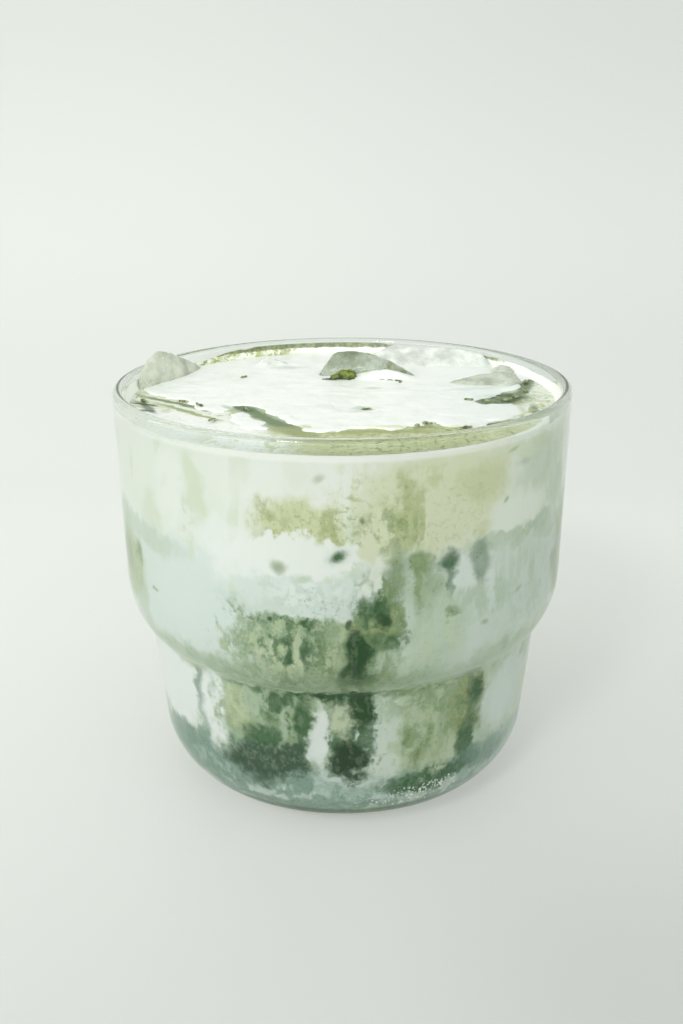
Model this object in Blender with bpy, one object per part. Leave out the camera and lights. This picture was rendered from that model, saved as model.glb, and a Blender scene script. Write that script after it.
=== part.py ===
"""Iced mugwort latte in its stepped glass.

A pressed tumbler with a wide upper part on a narrower base, so that glasses stack, is filled with marbled
green and white latte. A layer of milk cream floats on the drink, and lumps of ice break through it.
The origin is the centre of the foot, Z is up, and -Y is the front.
"""

import math

import bmesh
import bpy
from mathutils import Matrix, Vector, noise

MM = 0.001
SEGMENTS = 72  # sides of everything that is turned about the glass's axis
GAP = 0.3 * MM  # clearance between pieces that touch
WELD = 0.001 * MM
SMOOTH_UNDER = 35.0  # edges that turn by fewer degrees than this are shaded smooth

# The outside of the glass
HEIGHT = 80.5 * MM
RIM_R = 44.0 * MM
UPPER_FOOT_Z = 44.4 * MM  # the straight upper wall starts here
SHOULDER_CENTRE_R = 36.5 * MM
SHOULDER_DROP = 12.25 * MM  # height of the rounded shoulder
BASE_TOP_R = 40.0 * MM
BASE_LOW_R = 38.25 * MM
FOOT_R = 24.6 * MM
FOOT_CURVE_Z = 12.7 * MM  # height of the rounding between the foot and the base wall
LIP_TURN = 0.95 * MM  # radius of the fire-polished lip

# The inside of the glass
WALL = 2.1 * MM
CAVITY_SHOULDER_CENTRE_R = 36.0 * MM
CAVITY_SHOULDER_TOP = 45.2 * MM
CAVITY_SHOULDER_DROP = 10.6 * MM
CAVITY_BASE_TOP_R = 37.5 * MM
CAVITY_BASE_TOP_Z = 33.4 * MM
CAVITY_BASE_LOW_R = 35.9 * MM
CAVITY_BEND = 0.9 * MM  # rounding where the cavity's shoulder turns down into its base
CAVITY_CURVE_Z = 15.5 * MM
FLOOR_R = 26.4 * MM
FLOOR_Z = 4.4 * MM  # thickness of the bottom

# The drink
LEVEL = 77.1 * MM
MENISCUS = 0.45 * MM  # how far the drink climbs the wall all round
COAT_THICK = 0.55 * MM  # the film that clings to the wall above the level
FILM_FOOT = 0.1 * MM  # the film starts this far above the level
# Where the film stands higher: bearing from the front and half width in degrees, height in mm
COATS = ((-151, 17, 2.3), (178, 27, 2.5))

# The milk cream
CREAM_REACH = 40.5 * MM  # how far it goes where it meets the wall
CREAM_SIDES = 96
CREAM_SUNK = 1.3 * MM
CREAM_PROUD = 0.45 * MM
CREAM_ROLL = 0.7 * MM  # rounding of its edge
CREAM_SWELL = 0.22 * MM
CREAM_SWELL_WIDTH = 13 * MM
CREAM_HEAP = 0.3 * MM  # it lies this much higher round a large lump of ice
CREAM_HEAP_R = 15 * MM
CREAM_RINGS = (0.2, 0.45, 0.72)  # rings of its top, as shares of the way in from the edge
# Its lobes where it falls short of the wall: bearing from +X in degrees, reach in mm
CREAM_LOBES = (
    (-170, 37.4), (-163, 33.0), (-155, 29.5), (-149, 25.6), (-144, 24.4), (-138, 23.6), (-129, 24.6),
    (-119, 24.8), (-110, 26.6), (-100, 28.3), (-90, 27.2), (-80, 26.2), (-70, 28.0), (-62, 27.2),
    (-53, 32.6), (-44, 33.4), (-34, 36.4), (-25, 38.0), (-19, 35.6), (-15, 29.5), (-10, 27.2),
    (-4, 28.6), (3, 31.8), (9, 36.2), (14, 38.6),
)
LOBE_RUN_OUT = 7  # degrees in which the first and the last lobe reach the wall

# The ice, in mm from the glass's axis and above the drink's level. Each lump has a crest, an outline
# where it breaks the surface, and a sunk part, which narrows or widens by taper over its depth.
ICE_ROUND = 0.7  # melted corners
ICE = {
    "ice_centre": {
        "crest": ((-1.2, 16.6, 5.2), (1.4, 17.4, 5.5), (5.6, 18.8, 4.6), (9.8, 18.4, 3.0), (13.4, 16.8, 1.2)),
        "outline": (
            (-5.2, 16.6), (-1.4, 13.2), (2.6, 13.6), (15.6, 15.2), (14.0, 21.6), (4.0, 24.0), (-4.2, 21.6),
        ),
        "depth": 9.0,
        "taper": 0.86,
    },
    "ice_left": {
        "crest": (
            (-40.3, 7.0, 3.6), (-39.4, 10.2, 5.4), (-37.9, 12.6, 6.5), (-35.9, 15.9, 5.3), (-34.2, 20.2, 3.1),
        ),
        "outline": (
            (-41.0, 4.6), (-39.4, 8.6), (-36.6, 12.6), (-33.2, 16.4), (-31.2, 25.8), (-34.0, 23.8),
            (-38.4, 15.6),
        ),
        "depth": 9.0,
        "taper": 0.9,
    },
    "ice_right": {
        "crest": ((22.6, 8.4, 0.7), (28.0, 9.8, 1.5), (32.8, 11.6, 2.0), (35.4, 11.6, 1.8)),
        "outline": ((21.6, 8.2), (26.2, 6.4), (34.4, 5.4), (37.2, 8.8), (35.6, 13.6), (27.0, 13.2)),
        "depth": 8.0,
        "taper": 0.86,
    },
    "ice_back": {
        "crest": (
            (8.6, 31.6, 2.4), (16.0, 31.2, 3.2), (24.0, 30.2, 3.3), (30.8, 27.0, 2.8), (12.0, 38.2, 2.6),
            (25.2, 31.8, 2.9),
        ),
        "outline": (
            (5.8, 29.4), (12.0, 26.8), (21.0, 26.2), (29.6, 24.4), (33.0, 24.6), (27.0, 31.2), (11.0, 39.4),
            (6.6, 36.0),
        ),
        "depth": 8.0,
        "taper": 0.9,
    },
    "ice_tip_left": {
        "crest": ((-17.4, 28.6, 1.7), (-15.2, 28.8, 1.0)),
        "outline": ((-19.4, 27.6), (-16.0, 26.4), (-11.6, 27.8), (-14.0, 31.4), (-18.6, 31.0)),
        "depth": 6.0,
        "taper": 1.1,
    },
    "ice_tip_right": {
        "crest": ((34.2, 20.0, 1.7), (35.8, 19.4, 1.4)),
        "outline": ((32.0, 19.6), (34.2, 17.4), (37.0, 17.2), (36.4, 19.8), (33.2, 22.4)),
        "depth": 6.0,
        "taper": 1.0,
    },
}
CREAM_HEAPS_ROUND = ("ice_centre", "ice_right", "ice_back")

# Lumps of mugwort paste, in mm: x, y, height of the middle above the level, half length, half width,
# half thickness, and turn in degrees
PASTE_ON_ICE = ((0.6, 13.9, 0.75, 3.0, 1.5, 1.25, 8), (-2.2, 13.3, 0.35, 2.4, 1.1, 0.8, 35))
PASTE_ON_DRINK = (
    (29.4, -5.6, -0.1, 3.4, 1.7, 0.75, 14),
    (32.2, -1.6, -0.1, 2.6, 1.9, 0.8, 52),
    (35.2, 2.6, -0.1, 2.3, 1.2, 0.7, 40),
    (33.6, -7.4, -0.15, 2.2, 1.1, 0.6, -30),
)
PASTE_UNEVEN = 0.18

for old in list(bpy.data.objects):
    bpy.data.objects.remove(old)


def finish(name, colour, roughness, alpha=1.0):
    """A plain material, named after what it is."""
    made = bpy.data.materials.new(name)
    made.use_nodes = True
    shader = made.node_tree.nodes["Principled BSDF"]
    shader.inputs["Base Color"].default_value = (*colour, 1.0)
    shader.inputs["Roughness"].default_value = roughness
    shader.inputs["Metallic"].default_value = 0.0
    shader.inputs["Alpha"].default_value = alpha
    return made


def add_object(name, shape, material=None):
    """Turns a bmesh into a named object whose faces point outwards."""
    bmesh.ops.recalc_face_normals(shape, faces=shape.faces)
    mesh = bpy.data.meshes.new(name)
    shape.to_mesh(mesh)
    shape.free()
    mesh.shade_smooth()
    mesh.set_sharp_from_angle(angle=math.radians(SMOOTH_UNDER))
    if material:
        mesh.materials.append(material)
    made = bpy.data.objects.new(name, mesh)
    bpy.context.collection.objects.link(made)
    return made


def boolean(target, other, operation):
    """Joins other to target, or cuts it out, and removes it."""
    step = target.modifiers.new(operation.lower(), "BOOLEAN")
    step.operation = operation
    step.solver = "EXACT"
    step.object = other
    with bpy.context.temp_override(object=target, active_object=target):
        bpy.ops.object.modifier_apply(modifier=step.name)
    bpy.data.objects.remove(other)


def window(distance, half):
    """1 in the middle, falling smoothly to 0 at half on both sides."""
    return math.cos(min(abs(distance) / half, 1.0) * math.pi / 2) ** 2


# --- Turned shapes ---


def arc(centre_r, centre_z, half_r, half_z, start, steps):
    """Points on an ellipse, from start degrees up to 90, where 0 is straight down and 90 straight out."""
    points = []
    for i in range(steps + 1):
        a = math.radians(start + (90 - start) * i / steps)
        points.append((centre_r + half_r * math.sin(a), centre_z - half_z * math.cos(a)))
    return points


def outer_profile():
    """The outside of the glass, from the foot up to the foot of the straight wall."""
    half = RIM_R - SHOULDER_CENTRE_R
    notch = math.degrees(math.asin((BASE_TOP_R - SHOULDER_CENTRE_R) / half))
    corner = arc(FOOT_R, FOOT_CURVE_Z, BASE_LOW_R - FOOT_R, FOOT_CURVE_Z, 0, 7)
    shoulder = arc(SHOULDER_CENTRE_R, UPPER_FOOT_Z, half, SHOULDER_DROP, notch, 6)
    # The notch is softened by two points below it and one beside it.
    r, z = shoulder[0]
    soft = [(r - 0.04 * MM, z - 0.8 * MM), (r + 0.06 * MM, z - 0.1 * MM)]
    beside = Vector(shoulder[0]).lerp(Vector(shoulder[1]), 0.25)
    return [*corner, *soft, tuple(beside), *shoulder[1:]]


def lip_profile():
    """The rounded lip, from the outside over the top to the inside."""
    centre_r = RIM_R - LIP_TURN
    centre_z = HEIGHT - LIP_TURN
    turns = [math.radians(a) for a in range(0, 181, 30)]
    return [(centre_r + LIP_TURN * math.cos(a), centre_z + LIP_TURN * math.sin(a)) for a in turns]


def cavity_profile():
    """The inside of the glass, from the floor up to the top of the shoulder."""
    half = RIM_R - WALL - CAVITY_SHOULDER_CENTRE_R
    bend = math.degrees(math.asin((CAVITY_BASE_TOP_R + CAVITY_BEND - CAVITY_SHOULDER_CENTRE_R) / half))
    corner = arc(FLOOR_R, CAVITY_CURVE_Z, CAVITY_BASE_LOW_R - FLOOR_R, CAVITY_CURVE_Z - FLOOR_Z, 0, 6)
    shoulder = arc(CAVITY_SHOULDER_CENTRE_R, CAVITY_SHOULDER_TOP, half, CAVITY_SHOULDER_DROP, bend, 5)
    return [*corner, (CAVITY_BASE_TOP_R, CAVITY_BASE_TOP_Z), *shoulder]


def moved_in(profile, distance):
    """A profile that starts level and ends upright, moved towards the axis along its normals."""
    points = [Vector(p) for p in profile]
    points = [points[0] - Vector((1, 0)), *points, points[-1] + Vector((0, 1))]
    moved = []
    for before, here, after in zip(points, points[1:], points[2:]):
        way_in = (here - before).normalized()
        way_out = (after - here).normalized()
        normal_in = Vector((-way_in.y, way_in.x))
        middle = (normal_in + Vector((-way_out.y, way_out.x))).normalized()
        moved.append(tuple(here + middle * distance / middle.dot(normal_in)))
    return moved


def turned(profile, height_of=None):
    """Spins a profile that starts and ends on the axis. height_of gives a point's height from its place."""
    made = bmesh.new()
    verts = [made.verts.new((r, 0, z)) for r, z in profile]
    edges = [made.edges.new(pair) for pair in zip(verts, verts[1:])]
    bmesh.ops.spin(
        made, geom=verts + edges, axis=(0, 0, 1), angle=2 * math.pi, steps=SEGMENTS, use_merge=True
    )
    bmesh.ops.remove_doubles(made, verts=made.verts, dist=WELD)
    if height_of:
        for v in made.verts:
            v.co.z = height_of(*v.co)
    return made


# --- The drink's film on the wall ---


def wall_climb(x, y):
    """How far the drink stands up the wall at this bearing."""
    bearing = math.degrees(math.atan2(x, -y))
    climb = MENISCUS
    for centre, half, height in COATS:
        away = (bearing - centre + 180) % 360 - 180
        climb += height * MM * window(away, half) ** 0.6
    return climb


def film_height(x, y, z):
    """Only the film's own rings, which start just above the level, follow the climb."""
    return LEVEL + wall_climb(x, y) if z > LEVEL + FILM_FOOT / 2 else z


# --- The ice and the paste ---


def lump_hull(points, radius):
    """The convex hull of small balls round the points."""
    made = bmesh.new()
    for p in points:
        bmesh.ops.create_icosphere(made, subdivisions=1, radius=radius, matrix=Matrix.Translation(p))
    bmesh.ops.delete(made, geom=[*made.faces, *made.edges], context="EDGES_FACES")
    hull = bmesh.ops.convex_hull(made, input=made.verts)
    loose = {v for v in hull["geom_interior"] + hull["geom_unused"] if isinstance(v, bmesh.types.BMVert)}
    bmesh.ops.delete(made, geom=list(loose), context="VERTS")
    bmesh.ops.remove_doubles(made, verts=made.verts, dist=0.02 * MM)
    return made


def ice_points(shape):
    """The middles of a lump's melted corners, set back so that its surface passes through the sizes given."""
    outline = [Vector((x, y, 0)) for x, y in shape["outline"]]
    middle = sum(outline, Vector()) / len(outline)
    points = [Vector((x, y, h - ICE_ROUND)) for x, y, h in shape["crest"]]
    for p in outline:
        inner = p + (middle - p).normalized() * ICE_ROUND
        points.append(inner)
        points.append(middle + (inner - middle) * shape["taper"] - Vector((0, 0, shape["depth"])))
    return [p * MM + Vector((0, 0, LEVEL)) for p in points]


def ice_lump(name, grow=0.0, material=None):
    return add_object(name, lump_hull(ice_points(ICE[name]), ICE_ROUND * MM + grow), material)


def paste_lump(x, y, h, length, width, thick, turn):
    """A flattened, uneven lump of paste."""
    made = bmesh.new()
    bmesh.ops.create_icosphere(made, subdivisions=2, radius=1.0)
    for v in made.verts:
        v.co *= 1 + PASTE_UNEVEN * noise.noise(v.co * 1.7 + Vector((x, y, h)))
    place = Matrix.Translation((x * MM, y * MM, LEVEL + h * MM))
    size = Matrix.Diagonal((length * MM, width * MM, thick * MM, 1))
    made.transform(place @ Matrix.Rotation(math.radians(turn), 4, "Z") @ size)
    return add_object("paste", made)


def grown_paste(x, y, h, length, width, thick, turn):
    more = GAP / MM
    return paste_lump(x, y, h, length + more, width + more, thick + more, turn)


# --- The cream ---


def cream_reach(bearing):
    """Distance from the axis to the cream's edge: a smooth curve through the lobes."""
    first, last = CREAM_LOBES[0][0], CREAM_LOBES[-1][0]
    if not first - LOBE_RUN_OUT < bearing < last + LOBE_RUN_OUT:
        return CREAM_REACH
    wall = CREAM_REACH / MM
    before = [(first - 2 * LOBE_RUN_OUT, wall), (first - LOBE_RUN_OUT, wall)]
    after = [(last + LOBE_RUN_OUT, wall), (last + 2 * LOBE_RUN_OUT, wall)]
    knots = [*before, *CREAM_LOBES, *after]
    i = max(k for k in range(1, len(knots) - 2) if knots[k][0] <= bearing)
    t = (bearing - knots[i][0]) / (knots[i + 1][0] - knots[i][0])
    a, b, c, d = (reach for _, reach in knots[i - 1 : i + 3])
    curve = b + 0.5 * t * (c - a + t * (2 * a - 5 * b + 4 * c - d + t * (3 * (b - c) + d - a)))
    return min(curve * MM, CREAM_REACH)


def cream_top(x, y):
    """Height of the cream's surface, with its low swells, which lies highest round the ice."""
    swell = CREAM_SWELL * noise.noise(Vector((x, y, 0)) / CREAM_SWELL_WIDTH + Vector((0, 0, 4.2)))
    for name in CREAM_HEAPS_ROUND:
        outline = [Vector(p) * MM for p in ICE[name]["outline"]]
        middle = sum(outline, Vector((0, 0))) / len(outline)
        swell += CREAM_HEAP * window((Vector((x, y)) - middle).length, CREAM_HEAP_R)
    return LEVEL + CREAM_PROUD + swell


def edge_ring(made, moved, height):
    """A ring of points along the cream's edge. moved turns the reach into a radius."""
    ring = []
    for i in range(CREAM_SIDES):
        bearing = -180 + 360 * i / CREAM_SIDES
        r = moved(cream_reach(bearing))
        x = r * math.cos(math.radians(bearing))
        y = r * math.sin(math.radians(bearing))
        ring.append(made.verts.new((x, y, height if height else cream_top(x, y))))
    return ring


def skin(made, rings):
    """Faces between each ring and the next, and a lid over the first and the last."""
    for low, high in zip(rings, rings[1:]):
        for i in range(len(low)):
            j = (i + 1) % len(low)
            made.faces.new((low[i], low[j], high[j], high[i]))
    made.faces.new(reversed(rings[0]))
    made.faces.new(rings[-1])
    return made


def cream_layer():
    """The cream: a flat underside, a rolled edge and a swelling top."""
    made = bmesh.new()
    low = LEVEL - CREAM_SUNK
    high = LEVEL + CREAM_PROUD
    rings = [
        edge_ring(made, lambda r: r - 0.25 * MM, low),
        edge_ring(made, lambda r: r, low + 0.4 * MM),
        edge_ring(made, lambda r: r, high - CREAM_ROLL),
        edge_ring(made, lambda r: r - 0.2 * MM, high - 0.3 * CREAM_ROLL),
        edge_ring(made, lambda r: r - CREAM_ROLL, None),
    ]
    for share in CREAM_RINGS:
        rings.append(edge_ring(made, lambda r, s=share: (r - CREAM_ROLL) * (1 - s), None))
    return skin(made, rings)


def cream_bed():
    """The bed that the drink leaves for the cream, open at the top."""
    made = bmesh.new()
    low = LEVEL - CREAM_SUNK - GAP
    rings = [edge_ring(made, lambda r: r + GAP, z) for z in (low, LEVEL + 3 * MM)]
    return skin(made, rings)


# --- The pieces ---

clear_glass = finish("clear_glass", (0.86, 0.92, 0.88), 0.03, 0.35)
latte = finish("mugwort_latte", (0.50, 0.56, 0.45), 0.35)
milk_cream = finish("milk_cream", (0.93, 0.94, 0.92), 0.4)
ice = finish("ice", (0.84, 0.88, 0.84), 0.08, 0.6)

# Glass: one turned wall, closed under the foot and over the floor
glass_wall = [(0, 0), *outer_profile(), *lip_profile(), *reversed(cavity_profile()), (0, FLOOR_Z)]
add_object("glass", turned(glass_wall), clear_glass)

# Drink: fills the cavity up to the level and clings to the wall above it
filling = moved_in(cavity_profile(), GAP)
film_out = filling[-1][0]
film_in = film_out - COAT_THICK
surface = [
    (film_out, LEVEL - 0.4 * MM),
    (film_out, LEVEL + FILM_FOOT),
    (film_in, LEVEL + FILM_FOOT),
    (film_in - 0.25 * MM, LEVEL),
]
drink = add_object(
    "drink", turned([(0, FLOOR_Z + GAP), *filling, *surface, (0, LEVEL)], film_height), latte
)
for lump in PASTE_ON_DRINK:
    boolean(drink, paste_lump(*lump), "UNION")
boolean(drink, add_object("bed", cream_bed()), "DIFFERENCE")

# Cream: one layer, which ice and paste stand through
cream = add_object("cream", cream_layer(), milk_cream)
for opened in (drink, cream):
    for name in ICE:
        boolean(opened, ice_lump(name, GAP), "DIFFERENCE")
    for lump in PASTE_ON_ICE:
        boolean(opened, grown_paste(*lump), "DIFFERENCE")

# Ice, with paste at the foot of the middle lump
for name in ICE:
    ice_lump(name, 0.0, ice)
for lump in PASTE_ON_ICE:
    boolean(bpy.data.objects["ice_centre"], paste_lump(*lump), "UNION")
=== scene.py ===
# %% [markdown]
# # An iced mugwort latte in a stepped glass
#
# The real thing is a pressed stacking glass, filled almost to its lip with milk and mugwort tea that have
# only half mixed. White cream floats on top and ice breaks through it. The solid model gives the sizes
# and places, and this script gives every piece its surface. Each step first says what the piece is and
# why it is made the way it is.

import math
import random

import bpy
from mathutils import Matrix, Vector, noise


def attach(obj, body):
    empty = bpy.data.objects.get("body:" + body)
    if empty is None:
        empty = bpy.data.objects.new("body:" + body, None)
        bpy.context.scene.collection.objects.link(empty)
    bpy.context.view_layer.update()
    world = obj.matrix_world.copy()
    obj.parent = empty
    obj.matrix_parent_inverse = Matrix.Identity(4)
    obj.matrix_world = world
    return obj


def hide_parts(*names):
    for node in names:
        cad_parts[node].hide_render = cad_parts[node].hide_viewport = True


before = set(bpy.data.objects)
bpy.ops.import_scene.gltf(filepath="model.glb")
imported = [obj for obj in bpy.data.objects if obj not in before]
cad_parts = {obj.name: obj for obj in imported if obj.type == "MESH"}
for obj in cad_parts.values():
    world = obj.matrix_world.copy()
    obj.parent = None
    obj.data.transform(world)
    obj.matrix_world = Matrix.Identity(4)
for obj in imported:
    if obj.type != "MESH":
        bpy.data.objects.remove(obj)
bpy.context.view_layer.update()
MM = 0.001
print("frame loaded:", sorted(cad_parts))

# %% [markdown]
# ## The camera and the room
#
# The camera comes first, because everything is judged through it. It stands close to the glass and looks
# down by about twenty degrees, so the round rim becomes a flat ellipse. The room is one bent sheet: a
# floor that turns up into a back wall. A bent sheet has no corner, so the light falls off softly on it.

# %% The camera
CAMERA_AT = Vector((-0.27, -188.07, 122.17)) * MM
CAMERA_PITCH = math.radians(20.35)
CAMERA_ROLL = math.radians(-0.28)
CAMERA_LENS = 34.31
GLASS_MIDDLE = Vector((0, 0, 0.04))

camera_data = bpy.data.cameras.new("camera")
camera_data.lens = CAMERA_LENS
camera_data.clip_start = 0.01
camera = bpy.data.objects.new("camera", camera_data)
bpy.context.scene.collection.objects.link(camera)
look_down = Matrix.Rotation(math.pi / 2 - CAMERA_PITCH, 4, "X")
camera.matrix_world = Matrix.Translation(CAMERA_AT) @ look_down @ Matrix.Rotation(CAMERA_ROLL, 4, "Z")
bpy.context.scene.camera = camera
print("camera", round((CAMERA_AT - GLASS_MIDDLE).length / MM), "mm from the glass's middle")


# %% Helpers for working by hand
WELD = 0.002 * MM  # points closer than this are merged


def deselect():
    """Operators act on all that is selected, so each step starts from nothing."""
    if bpy.context.object and bpy.context.object.mode != "OBJECT":
        bpy.ops.object.mode_set(mode="OBJECT")
    bpy.ops.object.select_all(action="DESELECT")


def take(piece):
    """Selects one piece and makes it the active one."""
    deselect()
    piece.select_set(True)
    bpy.context.view_layer.objects.active = piece
    return piece


def pick(piece, wanted, kind):
    """Enters edit mode with the edges or vertices selected for which wanted(middle) is true."""
    take(piece)
    bpy.ops.object.mode_set(mode="EDIT")
    bpy.ops.mesh.select_mode(type=kind)
    bpy.ops.mesh.select_all(action="DESELECT")
    bpy.ops.object.mode_set(mode="OBJECT")
    mesh = piece.data
    if kind == "EDGE":
        for edge in mesh.edges:
            a, b = (mesh.vertices[i].co for i in edge.vertices)
            edge.select = wanted((a + b) / 2)
    else:
        for vert in mesh.vertices:
            vert.select = wanted(vert.co)
    bpy.ops.object.mode_set(mode="EDIT")


def named(piece, name):
    piece.name = name
    piece.data.name = name
    return piece


def apply_modifier(piece, kind, **settings):
    """Adds a modifier, sets it and applies it."""
    take(piece)
    step = piece.modifiers.new(kind.lower(), kind)
    for key, value in settings.items():
        setattr(step, key, value)
    bpy.ops.object.modifier_apply(modifier=step.name)


def settle(piece, smooth=35):
    """The last touch of a piece: place in the mesh, faces outwards, edges under smooth degrees rounded."""
    take(piece)
    bpy.ops.object.transform_apply(location=True, rotation=True, scale=True)
    bpy.ops.object.mode_set(mode="EDIT")
    bpy.ops.mesh.select_all(action="SELECT")
    bpy.ops.mesh.remove_doubles(threshold=WELD)
    bpy.ops.mesh.normals_make_consistent(inside=False)
    bpy.ops.object.mode_set(mode="OBJECT")
    bpy.ops.object.shade_smooth_by_angle(angle=math.radians(smooth))
    print(f"{piece.name}: {len(piece.data.polygons)} faces")
    return piece


# %% The floor and the back wall
FLOOR_FRONT = -1.2
FLOOR_BACK = 0.36
WALL_UP = 1.3
ROOM_SIDE = 3.0
COVE = 0.2  # radius of the bend between floor and wall
NEAR_BACK = FLOOR_BACK - 0.01
AIR_UNDER_FOOT = 0.05 * MM  # two faces in the same place would flicker

deselect()
bpy.ops.mesh.primitive_plane_add(size=1, location=(0, (FLOOR_FRONT + FLOOR_BACK) / 2, -AIR_UNDER_FOOT))
room = named(bpy.context.object, "room")
room.scale = (ROOM_SIDE, FLOOR_BACK - FLOOR_FRONT, 1)
bpy.ops.object.transform_apply(location=True, rotation=True, scale=True)
pick(room, lambda middle: middle.y > NEAR_BACK, "EDGE")
bpy.ops.mesh.extrude_region_move(TRANSFORM_OT_translate={"value": (0, 0, WALL_UP)})
pick(room, lambda middle: middle.y > NEAR_BACK and middle.z < 0.01, "EDGE")
bpy.ops.mesh.bevel(offset=COVE, segments=16)
settle(room)

# %% [markdown]
# ## The light
#
# A milk drink looks dull under hard light, so this one stands in a white room with one big soft window.
# The world is the white room, and an area light high at the front left is the window. It gives the soft
# shadow to the right and the bright lines in the glass.

# %% The light
HORIZON = (3.0, 3.03, 2.96)
ZENITH = (0.60, 0.61, 0.59)
BEHIND = 0.75  # how bright the far side is against the near side
RIGHT = 0.72  # how bright the right side is against the left side
WINDOW_AT = Vector((-0.44, -0.82, 0.79))
WINDOW_SIZE = 0.24
WINDOW_POWER = 3.2

world = bpy.data.worlds.new("white_room")
world.use_nodes = True
tree = world.node_tree
way = tree.nodes.new("ShaderNodeSeparateXYZ")
tree.links.new(tree.nodes.new("ShaderNodeTexCoord").outputs["Generated"], way.inputs[0])


def fade(axis, start, end, first, last):
    """A share that goes from first to last as the way one looks turns along an axis."""
    made = tree.nodes.new("ShaderNodeMapRange")
    made.interpolation_type = "SMOOTHSTEP"
    tree.links.new(way.outputs[axis], made.inputs["Value"])
    for name, value in zip(("From Min", "From Max", "To Min", "To Max"), (start, end, first, last)):
        made.inputs[name].default_value = value
    return made.outputs["Result"]


sky = tree.nodes.new("ShaderNodeMix")
sky.data_type = "RGBA"
tree.links.new(fade("Z", 0.0, 1.0, 0.0, 1.0), sky.inputs["Factor"])
sky.inputs[6].default_value = (*HORIZON, 1)
sky.inputs[7].default_value = (*ZENITH, 1)
share = tree.nodes.new("ShaderNodeMath")
share.operation = "MULTIPLY"
tree.links.new(fade("Y", -0.4, 0.7, 1.0, BEHIND), share.inputs[0])
tree.links.new(fade("X", -0.8, 0.8, 1.0, RIGHT), share.inputs[1])
tree.links.new(sky.outputs[2], tree.nodes["Background"].inputs["Color"])
tree.links.new(share.outputs[0], tree.nodes["Background"].inputs["Strength"])
bpy.context.scene.world = world

window = bpy.data.lights.new("window", "AREA")
window.shape = "DISK"
window.size = WINDOW_SIZE
window.energy = WINDOW_POWER
window_holder = bpy.data.objects.new("window", window)
bpy.context.scene.collection.objects.link(window_holder)
aim = (GLASS_MIDDLE - WINDOW_AT).to_track_quat("-Z", "Y")
window_holder.matrix_world = Matrix.Translation(WINDOW_AT) @ aim.to_matrix().to_4x4()

scene = bpy.context.scene
scene.view_settings.view_transform = "Standard"
scene.view_settings.look = "None"
print("light: a white room and a soft window on the left")

# %% [markdown]
# ## Building materials from nodes
#
# Every finish below is a small network: a coordinate, some noise and a few mixes. These helpers keep the
# networks short enough to read. A colour is written the way a screen shows it and turned into the linear
# light that the shader needs.


# %% Helpers for materials
def shade(red, green, blue):
    """A screen colour, 0 to 255, as linear light."""
    parts = [c / 255 for c in (red, green, blue)]
    return tuple(c / 12.92 if c <= 0.04045 else ((c + 0.055) / 1.055) ** 2.4 for c in parts) + (1,)


class Nodes:
    """One material's network, with a method for each kind of step."""

    def __init__(self, name):
        self.material = bpy.data.materials.new(name)
        self.material.use_nodes = True
        self.tree = self.material.node_tree
        self.shader = self.tree.nodes["Principled BSDF"]
        self.place = self.tree.nodes.new("ShaderNodeTexCoord").outputs["Object"]

    def add(self, kind, sockets=None, **settings):
        made = self.tree.nodes.new("ShaderNode" + kind)
        for key, value in settings.items():
            setattr(made, key, value)
        for key, value in (sockets or {}).items():
            self.feed(made.inputs[key], value)
        return made

    def feed(self, socket, value):
        if isinstance(value, bpy.types.NodeSocket):
            self.tree.links.new(value, socket)
        else:
            socket.default_value = value

    def set(self, **values):
        """Sets the shader's own sockets: base_color is Base Color."""
        for key, value in values.items():
            self.feed(self.shader.inputs[key.replace("_", " ").title().replace("Ior", "IOR")], value)

    def math(self, operation, a, b=0.0):
        return self.add("Math", {0: a, 1: b}, operation=operation).outputs[0]

    def times(self, a, b):
        return self.math("MULTIPLY", a, b)

    def plus(self, a, b):
        return self.math("ADD", a, b)

    def size_of(self, a):
        return self.math("ABSOLUTE", a)

    def axis(self, name, place=None):
        """X, Y or Z of a place, or of the point on the object."""
        return self.add("SeparateXYZ", {0: self.place if place is None else place}).outputs[name]

    def vector(self, operation, a, b=(0, 0, 0)):
        return self.add("VectorMath", {0: a, 1: b}, operation=operation).outputs[0]

    def scaled(self, place, by):
        return self.vector("MULTIPLY", place, by)

    def noise(self, place, size, detail=3.0, rough=0.55, twist=0.0):
        """Noise whose blotches are about size metres wide, from 0 to 1."""
        sockets = {"Vector": place, "Scale": 1 / size, "Detail": detail}
        return self.add("TexNoise", {**sockets, "Roughness": rough, "Distortion": twist}).outputs["Fac"]

    def noise_colour(self, place, size, detail=2.0):
        return self.add("TexNoise", {"Vector": place, "Scale": 1 / size, "Detail": detail}).outputs["Color"]

    def step(self, value, low, high):
        """A smooth step from 0 at low to 1 at high, which may run backwards."""
        sockets = {"Value": value, "From Min": low, "From Max": high}
        return self.add("MapRange", sockets, interpolation_type="SMOOTHSTEP").outputs["Result"]

    def spread(self, value, low, high, least, most):
        """An even rise from least at low to most at high."""
        sockets = {"Value": value, "From Min": low, "From Max": high, "To Min": least, "To Max": most}
        return self.add("MapRange", sockets).outputs["Result"]

    def mix(self, share, a, b, blend="MIX"):
        made = self.add("Mix", data_type="RGBA", blend_type=blend)
        self.feed(made.inputs["Factor"], share)
        self.feed(made.inputs[6], a)
        self.feed(made.inputs[7], b)
        return made.outputs[2]

    def bump(self, height, depth):
        sockets = {"Height": height, "Distance": depth, "Strength": 1.0}
        self.set(normal=self.add("Bump", sockets).outputs["Normal"])


print("material helpers ready")

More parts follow.
